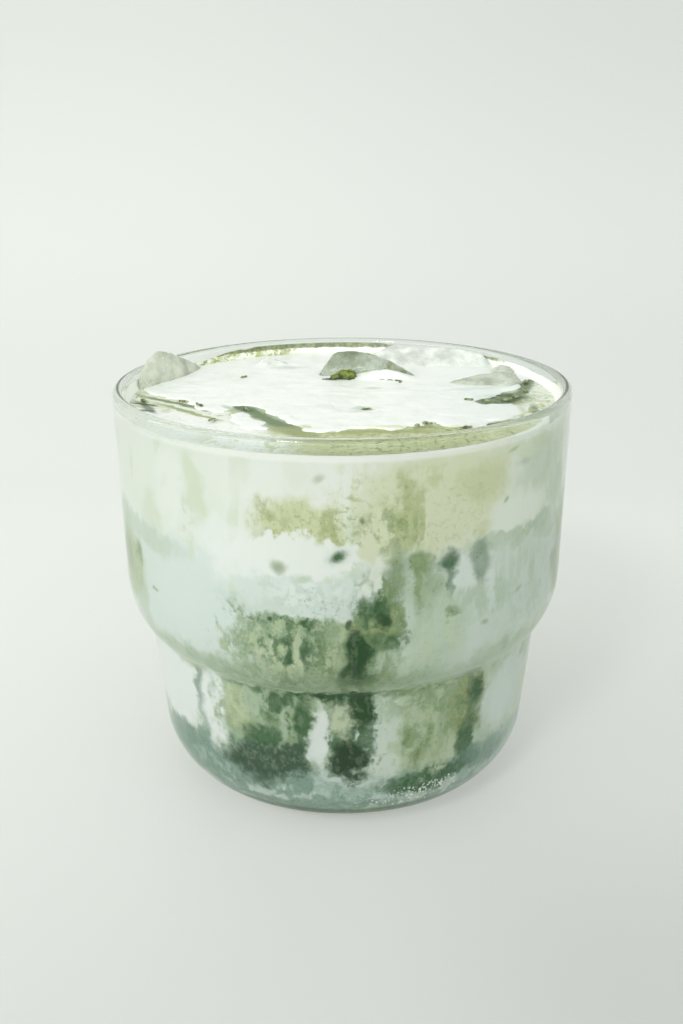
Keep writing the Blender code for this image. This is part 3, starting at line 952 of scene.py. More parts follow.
# %% Where the side's clouds lie
# Each cloud: bearing in degrees from the front, height, half width and half height in mm, colour, strength,
# and then, where they aren't "soft", 0.5 and 0, its kind, the softness of its edge and its turn in degrees.
# Blots, holes, flecks, specks and streaks fill only in places.
ACROSS_A_DEGREE = 0.7586  # mm on the sheet
UPPER_CLOUDS = (
    (-12, 72, 12, 6, MILK, 0.6), (-42, 68, 4, 6, MILK, 0.5), (-34, 70, 2.6, 6, LIME, 0.6, 0.5, 12),
    (-37, 64, 1.6, 4, SAGE, 0.4, "flecks"), (-50, 63, 2.4, 4, LIME, 0.4), (22, 69, 13, 9.5, STRAW, 0.95, 0.3),
    (31, 71, 4.5, 3.4, OLIVE, 0.7), (19, 73, 3, 2.2, OLIVE, 0.7, "blots"), (8, 66, 3.2, 8, STRAW, 0.8, 0.4),
    (2, 67, 3, 8, STRAW, 0.65, "streaks"), (10, 65, 3.4, 6, OLIVE, 0.75, "blots", 0.4),
    (-8.5, 66.9, 7.6, 3.9, STRAW, 1, 0.3), (-9, 66.2, 6.8, 3.2, OLIVE, 0.7, 0.35),
    (-9, 65.6, 6.4, 2.6, KHAKI, 0.5, "blots", 0.35), (-17, 66.8, 1.9, 3, KHAKI, 0.8, "blots"),
    (-15, 64, 2.4, 1.1, KHAKI, 0.7), (-2.4, 66, 1.5, 3.3, KHAKI, 0.7, "blots", 0.4),
    (-2, 64.2, 1.2, 0.9, KHAKI, 0.8), (13, 66.5, 1.5, 7.5, KHAKI, 0.75, 0.4),
    (15.8, 66, 0.7, 4.4, KHAKI, 0.7), (9, 64.5, 4.6, 5, MOSS, 0.5, "flecks"),
    (33.5, 62.6, 2.2, 1.5, OLIVE, 0.7), (-9, 66.5, 7.4, 3, KHAKI, 0.7, "specks"),
    (3, 66, 5, 7, KHAKI, 0.6, "specks"), (24, 66, 10, 6, KHAKI, 0.25, "specks"),
    (43, 63.7, 7.5, 3.2, PALE, 0.75, 0.35), (52, 71.5, 9, 4.5, SAGE, 0.55, 0.5, 12),
    (61, 64.5, 4.5, 4.5, SAGE, 0.65, 0.5, 40), (72, 66, 4, 8, PALE, 0.5), (44, 75.3, 8, 1.6, LIME, 0.6, 0.6),
    (-72, 73, 3.6, 2.6, ICE, 0.6),
)
MIDDLE_CLOUDS = (
    (-38, 48, 12.5, 9.5, MIST, 0.95, 0.25), (-52, 58, 10, 1.9, SAGE, 0.45, 0.5, -6),
    # The clouds at bearings -65 and -68 are partly marbling and partly painted shade, darker where the glass
    # darkens the drink's outline.
    (-68, 58, 4.5, 3.6, SAGE, 0.8, 0.5, -20), (-65, 50, 6.8, 7.2, REED, 0.95, 0.35),
    (-68, 51, 3.6, 4.6, MOSS, 0.6), (-58, 52, 1.4, 1.8, MOSS, 0.7), (-58, 44, 2.6, 3.4, SAGE, 0.5),
    (-50.5, 46.4, 1.1, 0.7, MOSS, 0.5), (52, 50, 10.5, 9.5, ICE, 0.95, 0.25),
    (46, 47, 12, 9, SAGE, 0.35, "blots", 0.4), (40, 52, 9, 6, SAGE, 0.4, "streaks", 0.4),
    (24, 45, 7, 6, MIST, 0.5), (21, 46, 6, 8, SAGE, 0.5, "streaks", 0.4), (31, 44.5, 8, 7.5, ICE, 0.85, 0.4),
    (20, 46, 6.5, 8.5, SAGE, 0.65, 0.4), (20, 44, 6, 6.5, LIME, 0.35, "streaks"),
    (24.5, 48.2, 1.7, 1, MOSS, 0.75), (32, 50, 6, 3.4, SAGE, 0.6, "blots", 0.4),
    (43, 59.2, 12, 1.5, SAGE, 0.75, 0.4, 2), (56, 58, 9, 1.8, SAGE, 0.55, 0.4, -12),
    # The clouds at bearings 69 and 70 are partly marbling and partly painted shade, darker where the glass
    # darkens the drink's outline.
    (69, 50, 5, 11.5, LEAF, 0.9, 0.35), (70, 50, 3.2, 9.5, MOSS, 0.75, 0.4),
    (-8, 43.5, 14, 7.2, LEAF, 0.97, "solid", 0.22), (-21, 45, 5, 5.6, SAGE, 0.75, "specks", 0.4),
    (-9, 42.5, 12.5, 5.8, REED, 0.9, "holes", 0.3), (-16, 41, 6, 3.4, LIME, 0.6, "streaks", 0.4),
    (-8, 43, 13, 6.5, LIME, 0.55, "specks", 0.3), (-12, 44, 8.5, 6, DARK, 0.6, "flecks", 0.4),
    (-3.6, 46.2, 1.6, 1.8, LEAF, 0.6, "solid"), (-14, 48.5, 8, 1.6, DARK, 0.7, "specks"),
    (-13.5, 42.5, 1.3, 2.6, DARK, 0.8, "blots", 0.4), (-9, 42, 1.8, 3.6, DARK, 0.65, "blots", 0.4),
    (-22, 50, 2.6, 1.4, MOSS, 0.75, "blots", 0.4, -20), (-8.4, 48.2, 1.3, 0.8, DARK, 0.9, 0.4),
    (-3.4, 42, 1.7, 4.6, MOSS, 0.85, "blots", 0.4), (7.5, 49, 4.4, 8.5, MOSS, 0.95, "solid", 0.25),
    (6.5, 48.5, 3.2, 3.6, KHAKI, 0.75, "holes", 0.4), (7, 50.5, 4, 5, DARK, 0.7, "flecks", 0.4),
    (9.5, 41, 3, 4, SAGE, 0.85, "solid", 0.3), (9, 41, 2.4, 3.4, MOSS, 0.7, "streaks", 0.4),
    (-12, 59.6, 13, 4.2, MILK, 1, "solid", 0.2), (-25, 62, 7, 3.6, MILK, 0.7, 0.4),
    (-22, 56.5, 6.5, 3.4, MILK, 0.8, 0.4), (-9, 53.6, 11.5, 4, MIST, 1, "solid", 0.22),
    (-7, 53.8, 6, 2.4, MILK, 0.55, 0.4), (-9, 54, 10, 3.2, ICE, 0.75, "flecks", 0.4),
    (-4, 52.4, 8, 2, FOG, 0.5, "specks", 0.4), (1, 54.5, 4.2, 3.2, ICE, 0.6, "blots", 0.4),
    (-20, 51.2, 6.5, 1.1, ICE, 0.5), (5.3, 61, 1.6, 2.2, STRAW, 0.95, "solid", 0.4, 20),
    (7.4, 57.2, 1.1, 3.6, PALE, 0.9, "solid", 0.4, -18), (17.3, 55.5, 3.6, 5.2, LEAF, 0.7, 0.4),
    (11.6, 55.6, 1.6, 4.8, MOSS, 0.8), (14.5, 56, 0.5, 5, ICE, 0.5, 0.6), (17.3, 58, 2.4, 2.2, MOSS, 0.85),
    (16.6, 54.5, 0.9, 3.6, MOSS, 0.7), (27.5, 55.8, 3.2, 2.6, MIST, 0.85, "solid", 0.35),
    (24, 58, 1.7, 2.2, DARK, 0.8, 0.6), (23.6, 55.4, 0.9, 3, DARK, 0.6, 0.6),
    (32.3, 56.8, 1.7, 3.3, DARK, 0.55, 0.6), (38.5, 56.5, 3, 2.6, ICE, 0.6),
    (6.3, 51.3, 1.6, 1.4, DARK, 0.8, "solid", 0.7), (8.8, 49.2, 1.6, 1.1, INK, 0.85, 0.4),
    (9.8, 45.6, 2.3, 2, DARK, 0.8, "solid", 0.6), (5, 44.2, 2.9, 3, MOSS, 0.8, "solid", 0.6),
    (4.6, 44.4, 2.2, 2.4, INK, 1, "solid", 0.45), (3.4, 41.4, 2.6, 4.2, DARK, 0.7, "solid", 0.6, -14),
    (3.6, 41.6, 1.8, 3.5, INK, 1, "solid", 0.4, -14), (3, 45.6, 1.9, 2, INK, 1, "solid"),
    (0.7, 48.9, 0.7, 1.1, INK, 0.8),
)
SHOULDER_CLOUDS = (
    (-5, 36.3, 19, 2.6, LEAF, 0.9, 0.4), (-17, 36.8, 9, 2.2, SAGE, 0.7, "streaks"),
    (50, 36.8, 20, 1.8, SAGE, 0.6), (-48, 37.2, 14, 1.6, SAGE, 0.7, 0.5, 6),
    (-16, 36.8, 6, 1.7, MOSS, 0.6, "blots"), (3.4, 37, 3.8, 2.6, MOSS, 0.7, "solid"),
    (2.2, 37.6, 3.4, 2.2, DARK, 0.7, 0.6), (2.4, 39.4, 1.8, 1.6, INK, 0.8, "solid"),
    (5, 36.5, 3.4, 2.4, MOSS, 0.25, "streaks"), (-8, 32, 16, 1.6, DARK, 1, "solid", 0.4),
    (-2, 32.6, 9, 1.2, INK, 0.85, "solid", 0.4), (20, 32.2, 12, 1.2, MOSS, 0.8, "solid"),
)
BASE_CLOUDS = (
    # The first three clouds are white at the left of the lower part: partly milk, partly painted sheen of the
    # glass.
    (-60, 25, 14, 9, MILK_AND_SHEEN, 1, 0.2), (-48, 28, 4, 5, MILK_AND_SHEEN, 1, 0.3), (-38.5, 25, 4.4, 8.5, MILK_AND_SHEEN, 1, 0.25),
    (-43.4, 29, 1, 4.2, STONE, 0.85, "smooth", 0.8), (-42.4, 20.5, 1.1, 5, STONE, 0.6, "smooth", 0.8),
    (-38.5, 29, 0.8, 3, ICE, 0.7, 0.6), (-19, 24.5, 12, 8.5, LEAF, 0.95, "solid", 0.25),
    (-29, 27, 3.2, 4.6, REED, 0.95, "solid", 0.3), (-30, 28, 2.4, 3.4, LIME, 0.6, "holes", 0.4),
    (-29, 26, 3.4, 4.4, KHAKI, 0.6, "flecks", 0.4), (-23, 28, 3.4, 3.6, SAGE, 0.75, "holes", 0.4),
    (-18, 29, 5.2, 4.2, DARK, 0.7, "blots", 0.35), (-14, 27.5, 4.6, 5, DARK, 0.75, "flecks", 0.35),
    (11.5, 22, 3.8, 9, MIST, 0.6, "solid", 0.3), (11.5, 21, 3.4, 8, ICE, 0.7, "streaks", 0.4),
    (12, 29.5, 3.8, 2.6, SAGE, 0.8, "blots", 0.4), (24, 22.8, 7.4, 8.8, REED, 0.95, "solid", 0.25),
    (24, 23.6, 7.2, 8.5, LEAF, 0.85, "flecks", 0.3), (24, 22.6, 7, 8, SAGE, 0.55, "holes", 0.3),
    (20, 21, 3.4, 6, MOSS, 0.6, "blots", 0.4), (22, 30, 7, 2.2, LEAF, 0.8, "blots", 0.4),
    (17.8, 22, 1.3, 2.4, MOSS, 0.8, "solid"), (21, 18, 1, 3, MOSS, 0.7, "solid"),
    (29, 23, 2.2, 7, MOSS, 0.4, "streaks", 0.4), (-23, 16.2, 9.4, 4.8, STONE, 1, "solid", 0.3),
    (-23.5, 15.8, 8.6, 4.6, SLATE, 0.95, "solid", 0.35), (-14, 17.2, 3.4, 4.6, SLATE, 0.95, "solid", 0.35),
    (-20, 17, 8, 3.4, LEAF, 0.35, "specks", 0.4), (-31, 15, 1.6, 2.4, INK, 0.5),
    (-22, 21.5, 4, 2.4, DARK, 0.85, "solid", 0.35), (-16.4, 25.5, 0.8, 4.5, SAGE, 0.8, 0.5, -12),
    (-11.2, 25, 1.3, 6, DARK, 0.85, "solid", 0.4), (1.5, 24, 5.4, 10, DARK, 0.85, "solid", 0.3),
    (1.6, 17.8, 4.1, 3.8, PINE, 1, "solid", 0.35), (4.4, 29.2, 2.9, 4.2, INK, 1, "solid", 0.35),
    (-7, 22, 2, 7.2, MIST, 1, "solid", 0.25), (-7, 23, 1.4, 6, MILK, 0.8, 0.4),
    (-1.6, 27, 2.1, 3.6, LIME, 0.9, "solid"), (-1.6, 27, 1.9, 3, LEAF, 0.6, "flecks", 0.4),
    (3.2, 23.6, 0.8, 1.3, MIST, 0.8), (37, 25.5, 4, 7.6, MOSS, 1, "solid", 0.35),
    (38, 26, 3.2, 6.4, DARK, 0.85, "flecks", 0.4), (34.5, 25.5, 3.8, 6.6, MOSS, 0.85),
    (33, 26, 2.4, 5, KHAKI, 0.6, "blots"), (38, 24.5, 2.2, 4.5, DARK, 0.4),
    (38.5, 28, 2.2, 2.6, DARK, 0.8, "solid", 0.4), (36, 17.5, 2.4, 4, DARK, 0.9, "solid", 0.35),
    (34, 27, 1.6, 4, KHAKI, 0.5, "blots"), (54, 24, 8.6, 8.5, ICE, 1, 0.25), (51, 24, 5, 6, MIST, 0.6),
)
FOOT_CLOUDS = (
    (0, 10.5, 70, 4.6, FOG, 0.9, 0.4), (-8, 11, 30, 3.4, STONE, 0.6, "blots"),
    (28, 12.4, 12.5, 2.6, STONE, 0.85), (27, 11.6, 12.5, 2.7, DARK, 0.9, "solid", 0.35, 2),
    (22, 11, 8, 2, LEAF, 0.5, "specks", 0.4), (46, 11.6, 8, 2.4, STONE, 0.65, 0.5, -8),
    (-54, 14, 12, 3.2, STONE, 0.8, 0.4, 14), (-43, 13, 9, 3.2, STONE, 0.8, 0.5, 10),
    (-47, 9.6, 12, 3, STONE, 0.7), (-36, 11, 9, 2.4, FOG, 0.8, "holes"), (0, 13, 7, 1.3, MIST, 0.6),
    (-22, 8.6, 12, 1.3, ICE, 0.8, "holes"), (24, 8.2, 14, 1.3, ICE, 0.75, "holes"),
    (0, 6.6, 80, 0.9, STONE, 0.7),
)
SMALL_SPOTS = (
    # The first spot is that bright line at the level, partly milk film and partly a painted highlight.
    (-6, 76.85, 32, 0.5, MILK_LINE_GLINT, 1, "smooth", 0.7), (-13.8, 58.2, 1.2, 1, MOSS, 0.75, "solid", 0.8),
    (-1.2, 60.4, 1.9, 1.25, ICE, 0.8, "solid", 0.7, 25), (-1.2, 60.4, 1.2, 0.8, DARK, 0.95, "solid", 0.7, 25),
    (-5, 73.7, 0.8, 0.5, SAGE, 0.8, "solid", 0.9, 30), (-8.6, 56.3, 1.2, 0.5, SAGE, 0.6, "solid", 0.8, 20),
    (3.9, 66.7, 0.45, 0.6, MOSS, 0.9, "solid", 0.8), (38.5, 66.8, 0.6, 0.3, MOSS, 0.6, "solid", 0.9, 40),
    (2.4, 70.3, 1.1, 0.3, KHAKI, 0.5, "solid", 0.9, -12), (2.6, 64.6, 0.8, 0.4, KHAKI, 0.7, "solid", 0.9, 20),
    (44, 72.7, 1.6, 0.6, MOSS, 0.3, "solid", 0.9), (40, 75.4, 1, 0.3, KHAKI, 0.7, "solid", 0.9, 15),
    (44.5, 48.8, 1.1, 0.4, MOSS, 0.35, "solid", 0.9, 20), (33.8, 45, 0.8, 0.5, MOSS, 0.45, "solid", 0.9),
    (-16.3, 48.6, 0.4, 0.4, DARK, 0.9, "solid"),
)

# %% A finish for one band of the side
# All the clouds in one material are too many for it, so the side is finished in three bands of height.
# Each band holds only the clouds that reach it, and all else is the same, so that no seam shows.
SIDE_BENDS = ((15 * MM, 3 * MM, 3 * MM), (5 * MM, 5 * MM, 5.5 * MM), (1.8 * MM, 2.4 * MM, 3.0 * MM))
LAYERS = ((12, 16, SAGE), (30, 38, SAGE), (38, 42, MIST), (58, 62, PALE))  # from and to height in mm
BACK_RUNS = ((MOSS, 0.52, 0.57, "blots"), (DARK, 0.56, 0.61, None), (INK, 0.6, 0.66, "flecks"))
STRAY = 4.5  # how far in mm the bends carry a cloud
DEEPER, GRITTY, HERBY = (0.6, 0.68, 0.58, 1), (0.56, 0.64, 0.5, 1), (0.5, 0.56, 0.3, 1)


def reaching(clouds, low, high):
    """The clouds that can be seen between two heights in mm."""
    seen = []
    for entry in clouds:
        _, up, half_wide, half_tall, *_, soft, turned = unpacked(entry)
        half = max(half_tall, abs(math.sin(math.radians(turned))) * half_wide)
        reach = half * (1.3 + soft) + STRAY
        if up - reach < high and up + reach > low:
            seen.append(entry)
    return seen


def side_finish(name, low, high):
    """The marbling between two heights in mm."""
    nodes = Nodes(name)
    sheet = laid_flat(nodes)
    bent = stirred(nodes, sheet, SIDE_BENDS)
    tall = nodes.scaled(nodes.place, (1, 1, 0.4))
    leaning = nodes.scaled(nodes.place, (1, 1, 0.7))
    runs = nodes.noise(tall, 1.6 * MM, detail=4)
    curds = nodes.noise(leaning, 3.4 * MM, detail=4, rough=0.58, twist=0.25)
    flecks = nodes.noise(leaning, 1.7 * MM, detail=4, rough=0.6, twist=0.25)
    grit = nodes.noise(nodes.place, 0.9 * MM, detail=4, rough=0.65)
    streaks = nodes.noise(nodes.scaled(nodes.place, (1, 1, 0.16)), 1.5 * MM, detail=3)
    edges = {
        "smooth": frayed(nodes, (curds, 0.15)), "soft": frayed(nodes, (runs, 0.3), (curds, 0.7)),
        "solid": frayed(nodes, (runs, 0.5), (curds, 0.9), (flecks, 0.9), (grit, 0.6)),
    }
    fills = {
        "blots": nodes.step(curds, 0.44, 0.56), "holes": nodes.step(curds, 0.53, 0.44),
        "flecks": nodes.step(flecks, 0.48, 0.6), "specks": nodes.step(grit, 0.5, 0.64),
        "streaks": nodes.step(streaks, 0.44, 0.58),
    }

    height = nodes.axis("Y", bent)
    broad = nodes.noise(tall, 13 * MM, detail=5, rough=0.62, twist=0.8)
    colour = against_glass(GROUND)
    for start, end, tint in LAYERS:
        colour = nodes.mix(nodes.step(height, start * MM, end * MM), colour, against_glass(tint))
    greened = nodes.times(nodes.step(broad, 0.5, 0.57), 0.5)
    colour = nodes.mix(greened, colour, against_glass(LIME))

    behind = nodes.step(nodes.size_of(nodes.axis("X", sheet)), 51 * MM, 66 * MM)
    under_cream = nodes.step(height, 60 * MM, 52 * MM)
    above_foot = nodes.step(height, 12 * MM, 18 * MM)
    back_dark = nodes.times(nodes.times(behind, under_cream), above_foot)
    for tint, start, end, fill in BACK_RUNS:
        share = nodes.times(nodes.step(broad, start, end), back_dark)
        if fill:
            share = nodes.times(share, fills[fill])
        colour = nodes.mix(share, colour, against_glass(tint))
    back_milk = nodes.times(nodes.step(broad, 0.46, 0.41), behind)
    colour = nodes.mix(back_milk, colour, against_glass(MILK))

    here, spots = (reaching(clouds, low, high) for clouds in (SIDE_CLOUDS, SMALL_SPOTS))
    for place, clouds in ((bent, here), (sheet, spots)):
        colour = painted(nodes, colour, place, clouds, edges, fills, ACROSS_A_DEGREE, against_glass)

    up = nodes.axis("Y", sheet)
    # Painted shade and highlight: a dark line at the bottom of the drink for the dark line that the glass's
    # foot shows, and under it the foot's warm line of light.
    foot_shade_line = nodes.times(nodes.step(up, 6.6 * MM, 5.6 * MM), 0.85)
    colour = nodes.mix(foot_shade_line, colour, against_glass(DARK))
    colour = nodes.mix(nodes.step(up, 5.0 * MM, 4.7 * MM), colour, against_glass(FOOT_GLINT))
    greens = nodes.step(nodes.add("RGBToBW", {0: colour}).outputs[0], 0.85, 0.4)
    herbs = nodes.noise(nodes.place, 0.8 * MM, detail=2)
    fine = (  # noise, its range, strength, where it shows, and the colour and how it is laid on
        (curds, 0.48, 0.62, 0.4, greens, DEEPER, "MULTIPLY"),
        (grit, 0.52, 0.7, 0.5, greens, GRITTY, "MULTIPLY"),
        (flecks, 0.47, 0.36, 0.1, greens, against_glass(LIME), "MIX"),
        (runs, 0.46, 0.32, 0.03, 1.0, against_glass(MILK), "MIX"),
        (herbs, 0.62, 0.69, 0.5, greens, HERBY, "MULTIPLY"),
    )
    for value, start, end, strength, where_seen, tint, blend in fine:
        share = nodes.times(nodes.times(nodes.step(value, start, end), strength), where_seen)
        colour = nodes.mix(share, colour, tint, blend)
    nodes.set(base_color=colour, roughness=0.5, specular_ior_level=0.05)
    print(name, "has", len(here), "clouds and", len(spots), "spots")
    return nodes


# %% The side's finishes
SIDE_CLOUDS = (*FOOT_CLOUDS, *UPPER_CLOUDS, *MIDDLE_CLOUDS, *SHOULDER_CLOUDS, *BASE_CLOUDS)
upper_side = side_finish("latte_upper", UPPER_FROM / MM, 90)
middle_side = side_finish("latte_middle", SHOULDER_FROM / MM, UPPER_FROM / MM)
lower_side = side_finish("latte_lower", 0, SHOULDER_FROM / MM)

# %% The top's finish
# Written like the side's clouds, with x and y in mm for the place
TOP_CLOUDS = (
    (14, -34, 28, 11, OLIVE, 0.95, 0.3), (16, -33, 24, 8, STRAW, 0.8, "blots", 0.4),
    (16, -33, 24, 8, KHAKI, 0.7, "flecks", 0.4), (-30, -27, 24, 13, MILK, 0.95, 0.3, -38),
    (-33, -20, 7, 3, PALE, 0.7, "blots", 0.4, -50), (-14, -35, 10, 3, LIME, 0.7, "blots", 0.5, -20),
    (40, 2, 6, 14, PALE, 0.9, 0.3), (40, -8, 3, 6, STRAW, 0.8, "blots", 0.4),
    (-31, -8.5, 14, 2.2, PALE, 0.8, "solid", 0.4, -47), (-14, -17.5, 13, 3, SAGE, 0.95, "solid", 0.4, -54),
    (-33, -5.5, 9, 0.7, MOSS, 0.9, "solid", 0.4, -40), (-29, -12.5, 9, 0.7, KHAKI, 0.9, "solid", 0.4, -44),
    (-37.5, -7, 3, 0.6, INK, 0.9, "solid", 0.4, -30), (-36.5, -11.5, 2, 0.5, DARK, 0.8, "solid", 0.4, -20),
    (-26, -11.5, 7, 0.9, DARK, 0.7, "flecks", 0.5, -48), (-37, -9, 5, 0.8, DARK, 0.75, "solid", 0.5, -62),
    (-39, -3, 4.5, 1, KHAKI, 0.9, "blots", 0.5, -72), (-18.5, -11.5, 5, 1.4, DARK, 0.85, "solid", 0.4, -50),
    (-13, -19, 10, 1.5, MOSS, 0.95, "solid", 0.4, -56), (-8, -27.5, 6, 2.2, KHAKI, 0.9, "solid", 0.4, -40),
    (-6, -29, 4, 1, MOSS, 0.8, "flecks", 0.4, -30), (30, -4.5, 7, 4.6, MOSS, 0.95, "solid", 0.35, 35),
    (29.5, -5, 6, 3.6, INK, 0.95, "blots", 0.35, 35), (33, -2, 4, 2.4, DARK, 0.9, "flecks", 0.4, 45),
    (35.6, -6.5, 2.2, 2.2, STRAW, 0.8, "blots", 0.4), (37, 5.5, 7, 1.6, MOSS, 0.95, "solid", 0.4, 72),
    (38.5, 9, 4.4, 1, DARK, 0.8, "blots", 0.4, 66), (28, -21.8, 9, 0.8, DARK, 0.8, "solid", 0.5, 34),
    (35.3, -13, 0.8, 4, MOSS, 0.85, "solid", 0.5, -8), (36, -11, 2.6, 5.5, OLIVE, 0.7, "blots", 0.4),
    (14, -24, 4, 3, KHAKI, 0.85, "blots", 0.4), (21, -27, 4, 2.2, MOSS, 0.85, "flecks", 0.4),
    (4, -27.5, 14, 1.2, KHAKI, 0.8, "solid"), (0, 42, 14, 4, MOSS, 0.8, "solid", 0.4),
    (-24, 35, 12, 5, OLIVE, 0.9, "blots", 0.4, 25), (-24, 34, 12, 4, KHAKI, 0.7, "flecks", 0.4, 25),
)
TOP_BENDS = ((7 * MM, 2.5 * MM, 2.5 * MM), (1.5 * MM, 1.0 * MM, 1.0 * MM))

top = Nodes("latte_top")
top_bent = stirred(top, top.scaled(top.place, (1, 1, 0)), TOP_BENDS)
top_curds = top.noise(top.place, 2.6 * MM, detail=5, rough=0.62, twist=0.6)
top_grit = top.noise(top.place, 1.1 * MM, detail=4, rough=0.65)
top_edges = {
    "soft": frayed(top, (top_curds, 0.6)),
    "solid": frayed(top, (top_curds, 1.2), (top_grit, 0.6)),
}
top_fills = {"blots": top.step(top_curds, 0.47, 0.55), "flecks": top.step(top_grit, 0.5, 0.6)}
top_colour = top.mix(top.step(top_curds, 0.42, 0.6), PALE, OLIVE)
top_colour = painted(top, top_colour, top_bent, TOP_CLOUDS, top_edges, top_fills)
crumbly = top.plus(top.times(top.step(top.axis("X"), -12 * MM, 2 * MM), 0.5), 0.15)
crumbly = top.times(top.step(top_grit, 0.53, 0.66), crumbly)
top_colour = top.mix(crumbly, top_colour, MOSS)
top.set(base_color=top_colour, roughness=0.42, specular_ior_level=0.25)
top.bump(top_grit, 0.12 * MM)

# %% The film's finish
FILM_MILK = shade(238, 243, 237)
EDGE_DARK, EDGE_OLIVE = shade(72, 86, 44), shade(128, 138, 84)

film = Nodes("latte_film")
film_grit = film.noise(film.place, 1.0 * MM, detail=4, rough=0.65)
film_curds = film.noise(film.place, 2.6 * MM, detail=4, rough=0.6)
film_parts = film.add("SeparateXYZ", {0: film.place}).outputs
wavering = film.times(film.math("SUBTRACT", film_curds, 0.5), 10 * MM)
back = film.step(film.plus(film_parts["Y"], wavering), 20 * MM, 26 * MM)
left = film.step(film.plus(film_parts["X"], wavering), -8 * MM, -14 * MM)
lip = film.plus(film_parts["Z"], film.times(wavering, 0.1))
edge = film.step(lip, LEVEL + 1.25 * MM, LEVEL + 1.6 * MM)
olive_film = film.mix(film.step(film_curds, 0.42, 0.58), PALE, OLIVE)
olive_film = film.mix(film.step(film_grit, 0.48, 0.62), olive_film, KHAKI)
milk_film = film.mix(film.step(film_curds, 0.45, 0.62), FILM_MILK, PALE)
back_film = film.mix(left, milk_film, olive_film)
dark_edge = film.mix(film.step(film_grit, 0.42, 0.6), EDGE_DARK, EDGE_OLIVE)
back_film = film.mix(film.times(edge, 0.9), back_film, dark_edge)
from_front = film.step(film.size_of(film_parts["X"]), 18 * MM, 30 * MM)
# At the front the film is painted white: partly milk, partly the painted highlight of the bright line at the
# level.
front_film = film.mix(from_front, against_glass(MILK_LINE_GLINT), against_glass(PALE))
film.set(base_color=film.mix(back, front_film, back_film), roughness=0.3, specular_ior_level=0.5)

# %% Each finish on its own faces
UNDER_LEVEL = 0.05 * MM
NEAR_WALL, NEAR_FILM = 0.3 * MM, 1.2 * MM  # a face this near to the wall is the side's, or the film's
ICE_ROOM_Z = 60 * MM  # no room for ice goes deeper than this

drink_finishes = (lower_side, middle_side, upper_side, film, top)
for finish in drink_finishes:
    drink.data.materials.append(finish.material)
for face in drink.data.polygons:
    r, z = face.center.xy.length, face.center.z
    if z < LEVEL - UNDER_LEVEL and (r > wall_r - NEAR_WALL or z < ICE_ROOM_Z):
        finish = lower_side if z < SHOULDER_FROM else middle_side if z < UPPER_FROM else upper_side
    else:
        finish = film if r > wall_r - NEAR_FILM else top
    face.material_index = drink_finishes.index(finish)

# %% [markdown]
# ## Ice and cream
#
# Ice that has stood in milk is clear only in places: its heart is cloudy and its skin wears a thin coat
# of milk. Noise decides how much light goes through, and the ice is painted lighter where it is seen
# edge-on, partly for the milk coat and partly as a painted rim highlight. The cream is plain white with
# faint green shadows where the drink shows through its thin edges, and a painted shade towards its right.

# %% Ice finishes
RIM_COAT_AND_GLINT = shade(250, 252, 248)


def ice_finish(name, tint, least, most, rough):
    """Cloudy ice that lets a share of the light through, from least to most."""
    nodes = Nodes(name)
    heart = nodes.noise(nodes.place, 3.5 * MM, detail=4, rough=0.6)
    frost = nodes.noise(nodes.place, 2.4 * MM, detail=3)
    # Lighter where the surface is seen edge-on: partly the milk coat, partly a painted rim highlight.
    rim = nodes.add("LayerWeight", {"Blend": 0.35}).outputs["Facing"]
    nodes.set(base_color=nodes.mix(nodes.times(rim, 0.5), tint, RIM_COAT_AND_GLINT), ior=1.31)
    nodes.set(transmission_weight=nodes.spread(heart, 0.35, 0.65, least, most))
    nodes.set(roughness=nodes.spread(frost, 0.3, 0.7, rough / 2, rough))
    nodes.bump(frost, 0.1 * MM)
    return nodes


clear_ice = ice_finish("wet_ice", shade(214, 224, 208), 0.6, 0.9, 0.1)
cloudy_ice = ice_finish("cloudy_ice", shade(216, 224, 206), 0.25, 0.6, 0.3)
milky_ice = ice_finish("milky_ice", shade(234, 239, 233), 0.1, 0.45, 0.25)
for lump, finish in zip(ice_lumps, (clear_ice, cloudy_ice, cloudy_ice, milky_ice, milky_ice, cloudy_ice)):
    lump.data.materials.append(finish.material)

# %% Cream finish
# Faint green marks where the drink shows through, written like the clouds of the drink's top
CREAM_MARKS = (
    (6, 4, 1.6, 0.9, SAGE, 0.5, 0.7, 10), (3.4, -12.4, 1.5, 1.5, SAGE, 0.6, 0.6, 30),
    (4.6, -13.4, 1.4, 0.4, MOSS, 0.6, 0.6), (2.4, -14.6, 1, 0.7, ICE, 0.7, 0.6),
    (-12, 24, 3.6, 1.6, ICE, 0.6, 0.6), (29, -3.4, 3.2, 1.6, ICE, 0.7, 0.6, 20),
    (-21, -11.4, 2.4, 0.8, SAGE, 0.7, 0.6, -50), (26, 3, 6, 0.9, ICE, 0.5, 0.6, 10),
    (-6.4, -24.6, 1.6, 0.7, OLIVE, 0.7, 0.6, -55), (9, -25, 4, 0.7, STRAW, 0.7, 0.6),
    (20, -24.8, 3.2, 0.8, STRAW, 0.7, 0.6), (33, -13.6, 0.8, 3.4, OLIVE, 0.6, 0.6),
)
CREAM_LIGHT, CREAM_FOLD, CREAM_RIGHT_SHADE = shade(243, 246, 242), shade(233, 239, 232), shade(226, 234, 231)
CREAM_BENDS = ((1.6 * MM, 1.6 * MM, 1.6 * MM),)

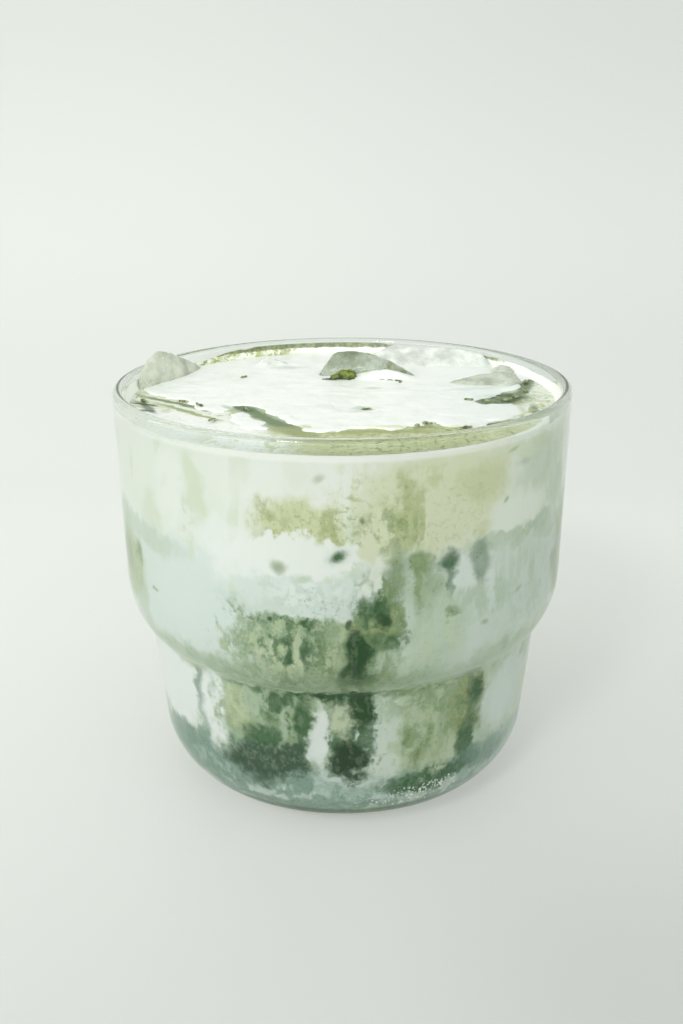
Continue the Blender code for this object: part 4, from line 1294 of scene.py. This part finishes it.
skin = Nodes("cream")
folds = skin.noise(skin.place, 5 * MM, detail=4, rough=0.6)
pores = skin.noise(skin.place, 1.2 * MM, detail=4, rough=0.6)
cream_colour = skin.mix(skin.step(folds, 0.45, 0.7), CREAM_LIGHT, CREAM_FOLD)
# Painted shade: the cream is painted cooler and greyer towards the right, away from the light.
cream_right_shade = skin.times(skin.step(skin.axis("X"), 4 * MM, 34 * MM), 0.6)
cream_colour = skin.mix(cream_right_shade, cream_colour, CREAM_RIGHT_SHADE)
cream_flat = stirred(skin, skin.scaled(skin.place, (1, 1, 0)), CREAM_BENDS)
cream_edges = {"soft": frayed(skin, (folds, 0.5), (pores, 0.8))}
cream_colour = painted(skin, cream_colour, cream_flat, CREAM_MARKS, cream_edges, {})
skin.set(base_color=cream_colour, roughness=0.32, specular_ior_level=0.4)
skin.bump(pores, 0.1 * MM)
cream.data.materials.append(skin.material)

# %% Paste and froth finishes
PASTE_DARK, PASTE_GREEN, PASTE_LIT = shade(26, 38, 16), shade(60, 78, 28), shade(118, 134, 40)

green = Nodes("mugwort_paste")
crumb = green.noise(green.place, 0.8 * MM, detail=5, rough=0.65)
lit = green.step(green.axis("Z"), LEVEL + 0.3 * MM, LEVEL + 1.3 * MM)
lit = green.times(lit, green.step(crumb, 0.35, 0.55))
paste_colour = green.mix(green.step(crumb, 0.4, 0.6), PASTE_DARK, PASTE_GREEN)
paste_colour = green.mix(lit, paste_colour, PASTE_LIT)
green.set(base_color=paste_colour, roughness=0.45, specular_ior_level=0.5)
green.bump(crumb, 0.15 * MM)
paste.data.materials.append(green.material)


def two_tone(name, size, detail, dark, light, rough):
    """A plain finish, mixed from two colours by noise."""
    nodes = Nodes(name)
    tone = nodes.step(nodes.noise(nodes.place, size, detail), 0.4, 0.6)
    nodes.set(base_color=nodes.mix(tone, dark, light), roughness=rough)
    return nodes.material


leafy = two_tone("mugwort_flecks", 0.9 * MM, 4, shade(74, 88, 58), shade(160, 168, 126), 0.5)
flecks.data.materials.append(leafy)
foamy = two_tone("froth", 1.5 * MM, 2, shade(200, 214, 204), shade(250, 252, 250), 0.3)
froth.data.materials.append(foamy)

# %% Clear the moulds away
for mould in ice_moulds:
    bpy.data.objects.remove(mould)
deselect()
